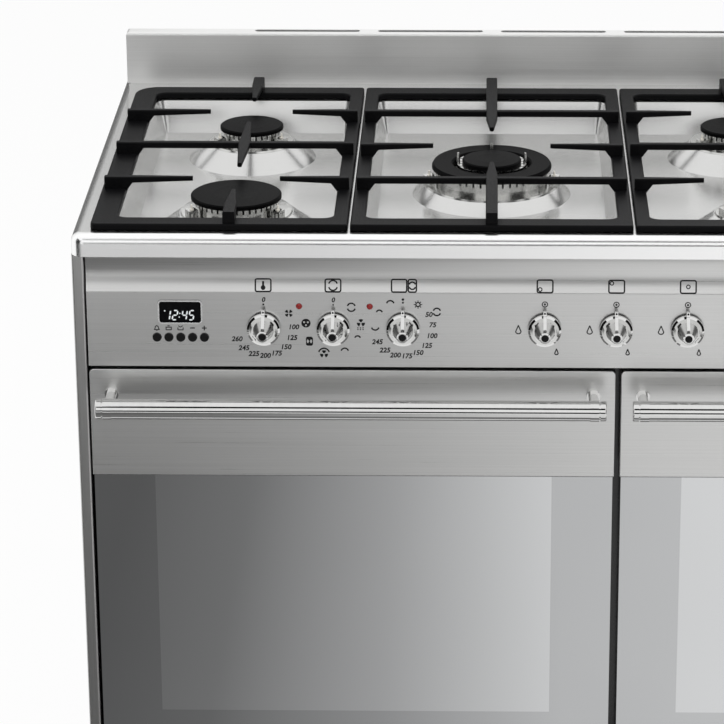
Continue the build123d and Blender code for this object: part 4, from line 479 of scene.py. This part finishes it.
def turned(name, x, z, profile, finish, body):
    """A round piece on a knob's axis: the profile's (radius, height) pairs carried round in even steps,
    with the height measured out from the fascia's face. One face closes the first ring."""
    steps = 40
    radius, height = np.array(profile).T
    angle = np.linspace(0, 2 * np.pi, steps, endpoint=False)
    across = x + np.outer(radius, np.cos(angle))
    up = z + np.outer(radius, np.sin(angle))
    out = np.outer(height, np.ones(steps))
    points = np.column_stack([across.ravel() * MM, FACE_Y - out.ravel() * MM, up.ravel() * MM])
    faces = ring_faces(len(radius), steps)[:, [0, 3, 2, 1]].tolist()
    faces.append(list(range(steps)))
    shaped(name, points, faces, finish, body)


def screw_heads(name, spots, y):
    """Pan-head screws on the rear sheet. At a distance r from its axis each head rises as
    dome sqrt(1 - (r / reach)^2), less the slot's depth where the nearer of both axes is within half a slot
    and r within the slot's length."""
    dome, reach, slot_depth, half_slot, slot_length = 1.8, 4.2, 0.9, 0.5, 2.5
    rings = np.array([0.05, 0.5, 0.9, 1.3, 1.7, 2.1, 2.4, 2.6, 3.1, 3.6, 4.0, reach])
    steps = 48
    angle = np.linspace(0, 2 * np.pi, steps, endpoint=False)
    u, v = np.outer(rings, np.cos(angle)), np.outer(rings, np.sin(angle))
    r = np.hypot(u, v)
    rise = dome * np.sqrt(np.clip(1 - (r / reach) ** 2, 0, 1))
    rise -= slot_depth * ((np.minimum(np.abs(u), np.abs(v)) < half_slot) & (r < slot_length))
    one = np.column_stack([u.ravel() * MM, y + rise.ravel() * MM, v.ravel() * MM])
    points = np.vstack([one + (x, 0, z) for x, z in spots])
    faces = np.vstack([ring_faces(len(rings), steps) + i * len(one) for i in range(len(spots))])
    shaped(name, points, faces.tolist(), ZINC, "carcass")


def around(x, angle, radius=32.0):
    """A place on the ring of marks round a knob, in degrees from the right."""
    turn = math.radians(angle)
    return x + radius * math.cos(turn), KNOB_ROW + radius * math.sin(turn)


def ruled_box(x, width=16.7):
    """Ruled box above a knob, with round corners."""
    height, corner, line = 13.2, 1.9, 1.6
    return stroke(rounded_box(x, BOX_ROW, width, height, corner), line, True)


def flame(x, z, width, height):
    """Outlined flame: a tall triangle on a rounded foot."""
    foot = circle(x, z - height / 2 + width * 0.3, width / 2, 190, 160, 12)
    return stroke(np.vstack([foot, [(x, z + height / 2)]]), 1.2, True)


def top_heat(x, z, radius):
    """Heating element overhead, seen end on: an arc over the point."""
    return stroke(circle(x, z, radius, 15, 150, 14), 1.6)


def base_heat(x, z, radius):
    """Heating element below: an arc under the point."""
    return stroke(circle(x, z, radius, 195, 150, 14), 1.6)


def both_heats(x, z, apart, radius):
    """Elements above and below, with their centres that far from the point."""
    return [top_heat(x, z + apart, radius), base_heat(x, z - apart, radius)]


def fan_mark(x, z, size, blades=3, first=90):
    """Bladed fan: sectors of a ring, evenly spread from the first one on, in degrees from the right.
    Together the blades fill 210 degrees, and the hub is left open."""
    span, hub = 210 / blades, size * 0.22
    sectors = []
    for turn in np.arange(blades) * 360 / blades + first:
        outer = circle(x, z, size, turn - span / 2, span, 7)
        inner = circle(x, z, hub, turn - span / 2, span, 7)
        sectors.append(filled(np.vstack([outer, inner[::-1]])))
    return sectors


def scale_figures(x, first, texts):
    """Dial figures clockwise round a knob, at even angles from the first one on."""
    apart = 22.6
    return [numerals(text, *around(x, first - apart * i)) for i, text in enumerate(texts)]


def off_mark(x, dot_rise, dot_radius):
    """The figure 0 over an oven knob, with a dot below it."""
    return [numerals("0", x, KNOB_ROW + 32.2, 5.2), spot(x, KNOB_ROW + dot_rise, dot_radius)]


def thermostat_marks():
    """Main oven thermostat: temperatures, a fan, and a thermometer in the box above."""
    x = KNOB_X["thermostat_knob"]
    marks = scale_figures(x, 2, ("100", "125", "150", "175", "200", "225", "245", "260"))
    marks += fan_mark(*around(x, 32), 4.4, 4, 45)
    stem, bulb = [(x, BOX_ROW - 1.7), (x, BOX_ROW + 4.2)], (x, BOX_ROW - 2.6)
    marks += [ruled_box(x), stroke(stem, 2.2), spot(*bulb, 2.5)]
    marks += off_mark(x, 27.0, 1.1)
    printed("thermostat_marks", marks, INK, "carcass")


def function_marks():
    """Main oven function switch: fans and heating elements, two of the signs light on a dark patch."""
    knob = KNOB_X["function_knob"]
    marks = [ruled_box(knob)] + both_heats(knob, BOX_ROW, 0.6, 4.6) + off_mark(knob, 26.8, 0.9)
    disc, patch = around(knob, 169, 30.0), around(knob, 210, 30.0)
    marks += [spot(*disc, 5.0), filled(rounded_box(*patch, 7.6, 10.4, 2.2))]
    light = [spot(disc[0] + 2.3 * math.cos(turn), disc[1] + 2.3 * math.sin(turn), 1.1)
             for turn in (0.5, 2.6, 4.7)]
    light += fan_mark(*patch, 2.9, 2, 0)
    printed("function_marks_light", light, FRONT_STEEL, "carcass", lift=0.3)
    x, z = around(knob, 250, 30.5)
    marks += fan_mark(x, z - 1.0, 4.4) + [top_heat(x, z - 0.2, 5.8)]
    x, z = around(knob, 295, 28.5)
    marks += [top_heat(x, z - 1.0, 4.0), top_heat(*around(knob, 336, 28.5), 3.0)]
    x, z = around(knob, 8, 30.0)
    marks += fan_mark(x, z + 2.0, 4.4)
    marks += [stroke([(x + dash, z - drop), (x + dash + 1.4, z - drop)], 1.1)
              for dash in (-4.0, -1.2, 1.6) for drop in (3.6, 5.5)]
    marks += both_heats(*around(knob, 51, 31.0), 0.4, 4.2)
    printed("function_marks", marks, INK, "carcass")


def aux_oven_marks():
    """Narrow oven's switch: temperatures, a lamp, heating elements, and two boxes above, one per oven."""
    knob = KNOB_X["aux_oven_knob"]
    wide_box, narrow_box = knob - 4.0, knob + 10.2
    marks = scale_figures(knob, 30, ("50", "75", "100", "125", "150", "175", "200", "225", "245"))
    marks += [ruled_box(wide_box, 16.3), ruled_box(narrow_box, 8.7)]
    marks += both_heats(narrow_box, BOX_ROW, 0.4, 3.4)
    marks += [spot(knob, KNOB_ROW + 33.2, 1.4), spot(knob, KNOB_ROW + 29.6, 1.1)]
    x, z = around(knob, 59.5)
    marks += [stroke(circle(x, z, 2.3), 1.3, True)]
    marks += [stroke([(x + 3.1 * c, z + 3.1 * s), (x + 4.6 * c, z + 4.6 * s)], 1.0)
              for c, s in circle(0, 0, 1.0, 0, 315, 8)]
    marks += [top_heat(*around(knob, 145, 31.0), 3.2), top_heat(*around(knob, 116, 31.0), 4.0)]
    marks += [base_heat(*around(knob, 176, 30.0), 4.0)]
    marks += both_heats(knob + 36.5, KNOB_ROW + 19.2, 0.4, 3.8)
    printed("aux_oven_marks", marks, INK, "carcass")


def burner_marks():
    """Burner knobs: off ring, large and small flame, and above a box that shows which burner it is."""
    places = ((-5.2, -3.4), (-5.2, 3.4), (0.0, 0.0), (5.2, 3.4), (5.2, -3.4))
    off_row = KNOB_ROW + 28.3
    for number, (dx, dz) in enumerate(places, 1):
        x = KNOB_X[f"burner_knob_{number}"]
        marks = [ruled_box(x), stroke(circle(x + dx, BOX_ROW + dz, 1.9), 1.1, True)]
        marks += [stroke(circle(x, off_row, 2.9), 1.0, True), spot(x, off_row, 1.2)]
        marks += [flame(x - 28.3, KNOB_ROW, 5.9, 8.4), flame(x + 13.0, KNOB_ROW - 25.5, 3.8, 5.9)]
        printed(f"burner_marks_{number}", marks, INK, "carcass")


def clock_marks():
    """Bright rim of the clock's bezel, and the lit time in its window: figures, colon and a dot."""
    bezel_depth = (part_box("clock_module")[0][1] - FACE_Y) / MM
    rim = stroke(rounded_box(CLOCK_X, CLOCK_ROW, 46.4, 25.4, 3.4), 1.6, True)
    printed("clock_rim", [rim], HOB_STEEL, "carcass", lambda z: bezel_depth, 0.05)
    lit = []
    for char, across in zip("1245", (-16.6, -8.8, 1.4, 9.0)):
        lit += clock_digit(char, CLOCK_X + across, CLOCK_ROW - 9.2)
    for across, up, radius in ((-1.1, -6.0, 0.7), (-0.4, -1.8, 0.7), (-16.6, 1.0, 0.8)):
        lit += [spot(CLOCK_X + across, CLOCK_ROW + up, radius)]
    printed("clock_time", lit, GLOW, "carcass", lambda z: WINDOW_DEPTH, 0.1)


def button_marks():
    """Pictograms over the clock buttons: bell, pot with a lid, pot under an arrowhead, minus and plus."""
    row = BUTTON_ROW
    bell_x, pot_x, end_x, minus_x, plus_x = (middle(f"timer_button_{number}") for number in range(1, 6))
    side = np.array([(2.9, -2.0), (1.9, -0.6), (1.7, 1.2)])
    bell = np.vstack([side * (-1, 1), [(0.0, 2.8)], side[::-1]])
    icons = [stroke(bell + (bell_x, row), 1.0, True), spot(bell_x, row - 2.6, 0.8)]
    tub = np.array([(-2.8, 0.6), (-2.8, -2.2), (2.8, -2.2), (2.8, 0.6)])
    icons += [stroke(tub + (x, row), 1.0) for x in (pot_x, end_x)]
    icons += [stroke([(pot_x - reach, row + up), (pot_x + reach, row + up)], 1.0)
              for reach, up in ((3.4, 0.8), (1.2, 2.4))]
    arrow = np.array([(-2.4, 2.6), (0.0, 0.9), (2.4, 2.6)])
    icons += [stroke(arrow + (end_x, row), 0.9)]
    icons += [stroke([(x - 2.6, row), (x + 2.6, row)], 1.2) for x in (minus_x, plus_x)]
    icons += [stroke([(plus_x, row - 2.6), (plus_x, row + 2.6)], 1.2)]
    printed("button_marks", icons, INK, "carcass")


def knob_details():
    """A grooved black insert in the nose of each knob, and an inked dot near the tip of its fin. The
    profile gives the insert's radii and how far each lies behind the nose. The fin's edge slopes back as it
    rises."""
    profile = ((0.2, 0.38), (1.5, 0.38), (1.7, 0.6), (2.2, 0.6), (2.4, 0.38), (3.7, 0.38), (4.05, 0.6),
               (4.05, 0.78))
    dot_row, fin_reach, fin_slope = KNOB_ROW + 21.0, 9.47, 0.26
    for body, x in KNOB_X.items():
        nose = round((FACE_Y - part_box(body)[0][1]) / MM, 2)
        insert = [(radius, nose - behind) for radius, behind in profile]
        turned(f"{body}_insert", x, KNOB_ROW, insert, MOULDING, body)
        printed(f"{body}_dot", [spot(x, dot_row, 1.1)], INK, body,
                lambda z: fin_slope * (z - dot_row) - fin_reach, 0.12)


def rear_screws():
    """Sheet-metal screws round the border of the rear sheet, on its outer face."""
    low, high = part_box("back_panel")
    edge, sheet = 14 * MM, 1.2 * MM
    left, right, foot, head = low[0] + edge, high[0] - edge, low[2] + edge, high[2] - edge
    spots = [(x, z) for x in (left, right) for z in np.linspace(foot, head, 5)]
    spots += [(x, z) for x in np.linspace(left, right, 5)[1:-1] for z in (foot, head)]
    screw_heads("rear_screws", spots, low[1] + sheet)


def flat_sheet(name, low, high, surface):
    """An upright or level rectangle between two opposite corners in metres: returns it and the empty tree
    of its material."""
    first = next(axis for axis in range(3) if low[axis] != high[axis])
    second, fourth = list(low), list(high)
    second[first], fourth[first] = high[first], low[first]
    mesh = bpy.data.meshes.new(name)
    mesh.from_pydata([low, second, high, fourth], [], [(0, 1, 2, 3)])
    made = bpy.data.objects.new(name, mesh)
    bpy.context.scene.collection.objects.link(made)
    material = bpy.data.materials.new(surface)
    made.data.materials.append(material)
    return made, cleared(material)


def reflector(name, low, high, shade):
    """A card that shows only in metal and glass. Its shade is an even tone, or a function that adds a
    graded one to the card's tree."""
    card, tree = flat_sheet(name, low, high, name)
    colour = shade(tree) if callable(shade) else linear(shade)
    glow = add(tree, "Emission", {"Color": colour, "Strength": 1.0}).outputs[0]
    add(tree, "OutputMaterial", {"Surface": glow})
    card.visible_camera = False
    card.visible_diffuse = False
    card.visible_shadow = False
    card.visible_transmission = False


def floor_shade(tree):
    """The floor card darkens to the left, and more steeply beyond 1.95 m in front: the near part shows in
    the door glass, the far part in the fascia."""
    coords = add(tree, "TexCoord").outputs["Object"]
    place = add(tree, "SeparateXYZ", {"Vector": coords}).outputs
    along = add(tree, "MapRange", {"Value": place["X"], "From Min": -0.55, "From Max": 0.35}).outputs[0]
    away = add(tree, "MapRange", {"Value": place["Y"], "From Min": -1.95, "From Max": -2.15}).outputs[0]
    near = add(tree, "ValToRGB", {"Fac": along}, (
        (0.0, "#6C6C6C"), (0.2, "#7E7E7E"), (0.45, "#B4B4B4"), (0.64, "#DBDBDB"), (0.72, "#E8E8E8"),
        (1.0, "#F2F2F2"))).outputs["Color"]
    far = add(tree, "ValToRGB", {"Fac": along}, (
        (0.0, "#5C5C5C"), (0.5, "#B6B6B6"), (1.0, "#FFFFFF"))).outputs["Color"]
    return add(tree, "Mix", {"Factor": away, "A": near, "B": far}, data_type="RGBA").outputs["Result"]


def seen(tree):
    """1 where the camera sees straight, in metal or through glass, and 0 for what only lights the scene."""
    path = add(tree, "LightPath").outputs
    share = path["Is Camera Ray"]
    for kind in ("Is Glossy Ray", "Is Transmission Ray"):
        share = add(tree, "Math", {0: share, 1: path[kind]}, operation="MAXIMUM").outputs[0]
    return share


def surroundings():
    """White world that lights the scene less than it shows, and a pale floor that keeps a faint shadow."""
    world = bpy.data.worlds.new("studio")
    bpy.context.scene.world = world
    tree = cleared(world)
    colour = add(tree, "Mix", {"Factor": seen(tree), "A": linear("#BDBDBD"), "B": linear("#FFFFFF")},
                 data_type="RGBA")
    sky = add(tree, "Background", {"Color": colour.outputs["Result"], "Strength": 1.0})
    add(tree, "OutputWorld", {"Surface": sky.outputs[0]})

    half, whiteness = 14, 0.94
    floor, tree = flat_sheet("floor", (-half, -half, 0), (half, half, 0), "pale_floor")
    share = add(tree, "Math", {0: seen(tree), 1: whiteness}, operation="MULTIPLY").outputs[0]
    matt = add(tree, "BsdfDiffuse", {"Color": linear("#F4F4F4")}).outputs[0]
    glow = add(tree, "Emission", {"Color": linear("#FFFFFF"), "Strength": 1.0}).outputs[0]
    mixed = add(tree, "MixShader", {0: share, 1: matt, 2: glow}).outputs[0]
    add(tree, "OutputMaterial", {"Surface": mixed})


def cards():
    """What steel, glass and chrome mirror: a graded floor in front, and darker flags for their bands."""
    for name, low, high, shade in (
            ("floor_reflector", (-2.4, -2.68, 0.003), (2.4, -0.80, 0.003), floor_shade),
            ("foot_flag", (-1.3, -0.80, 0.002), (1.3, -0.36, 0.002), "#7A7A7A"),
            ("brow_flag", (-1.1, -4.4, 3.5), (1.1, -4.4, 6.0), "#080808"),
            ("level_flag", (-1.1, -4.6, 0.0), (1.1, -4.6, 1.15), "#3A3A3A"),
            ("left_flag", (-2.2, -3.4, 0.1), (-2.2, -0.9, 2.4), "#161616"),
            ("right_flag", (2.4, -3.4, 0.1), (2.4, -0.9, 2.4), "#161616"),
            ("rear_flag", (-2.2, 3.0, 0.0), (-0.72, 3.0, 1.9), "#6A6A6A")):
        reflector(name, low, high, shade)


def lamps():
    """Soft round lamps that don't show in metal: place and width in metres, turn in degrees, and watts."""
    for name, place, turn, size, watts in (
            ("key_lamp", (1.9, -2.3, 3.4), (48, 0, 40), 2.2, 55.0),
            ("fill_lamp", (-2.4, -1.6, 2.6), (55, 0, -55), 2.0, 22.0),
            ("top_lamp", (0.0, 0.6, 3.6), (-6, 0, 0), 2.6, 30.0)):
        lamp = bpy.data.lights.new(name, "AREA")
        lamp.shape = "DISK"
        lamp.size = size
        lamp.energy = watts
        holder = bpy.data.objects.new(name, lamp)
        holder.location = place
        holder.rotation_euler = [math.radians(angle) for angle in turn]
        holder.visible_glossy = False
        bpy.context.scene.collection.objects.link(holder)


def camera():
    """Close to the photograph's viewpoint: a long lens, tilted down and turned a little to the left."""
    tilt, turn = 20.20, 0.738
    lens = bpy.data.cameras.new("camera")
    lens.sensor_width = 36.0
    lens.lens = 170.0
    lens.shift_x = -0.115
    lens.shift_y = -0.05
    lens.clip_end = 100.0
    holder = bpy.data.objects.new("camera", lens)
    holder.location = (-0.0050, -3.7250, 2.0670)
    holder.rotation_euler = (math.radians(90 - tilt), 0.0, math.radians(turn))
    bpy.context.scene.collection.objects.link(holder)
    bpy.context.scene.camera = holder


thermostat_marks()
function_marks()
aux_oven_marks()
burner_marks()
clock_marks()
button_marks()
knob_details()
rear_screws()
bpy.context.scene.view_settings.view_transform = "Standard"
surroundings()
cards()
lamps()
camera()
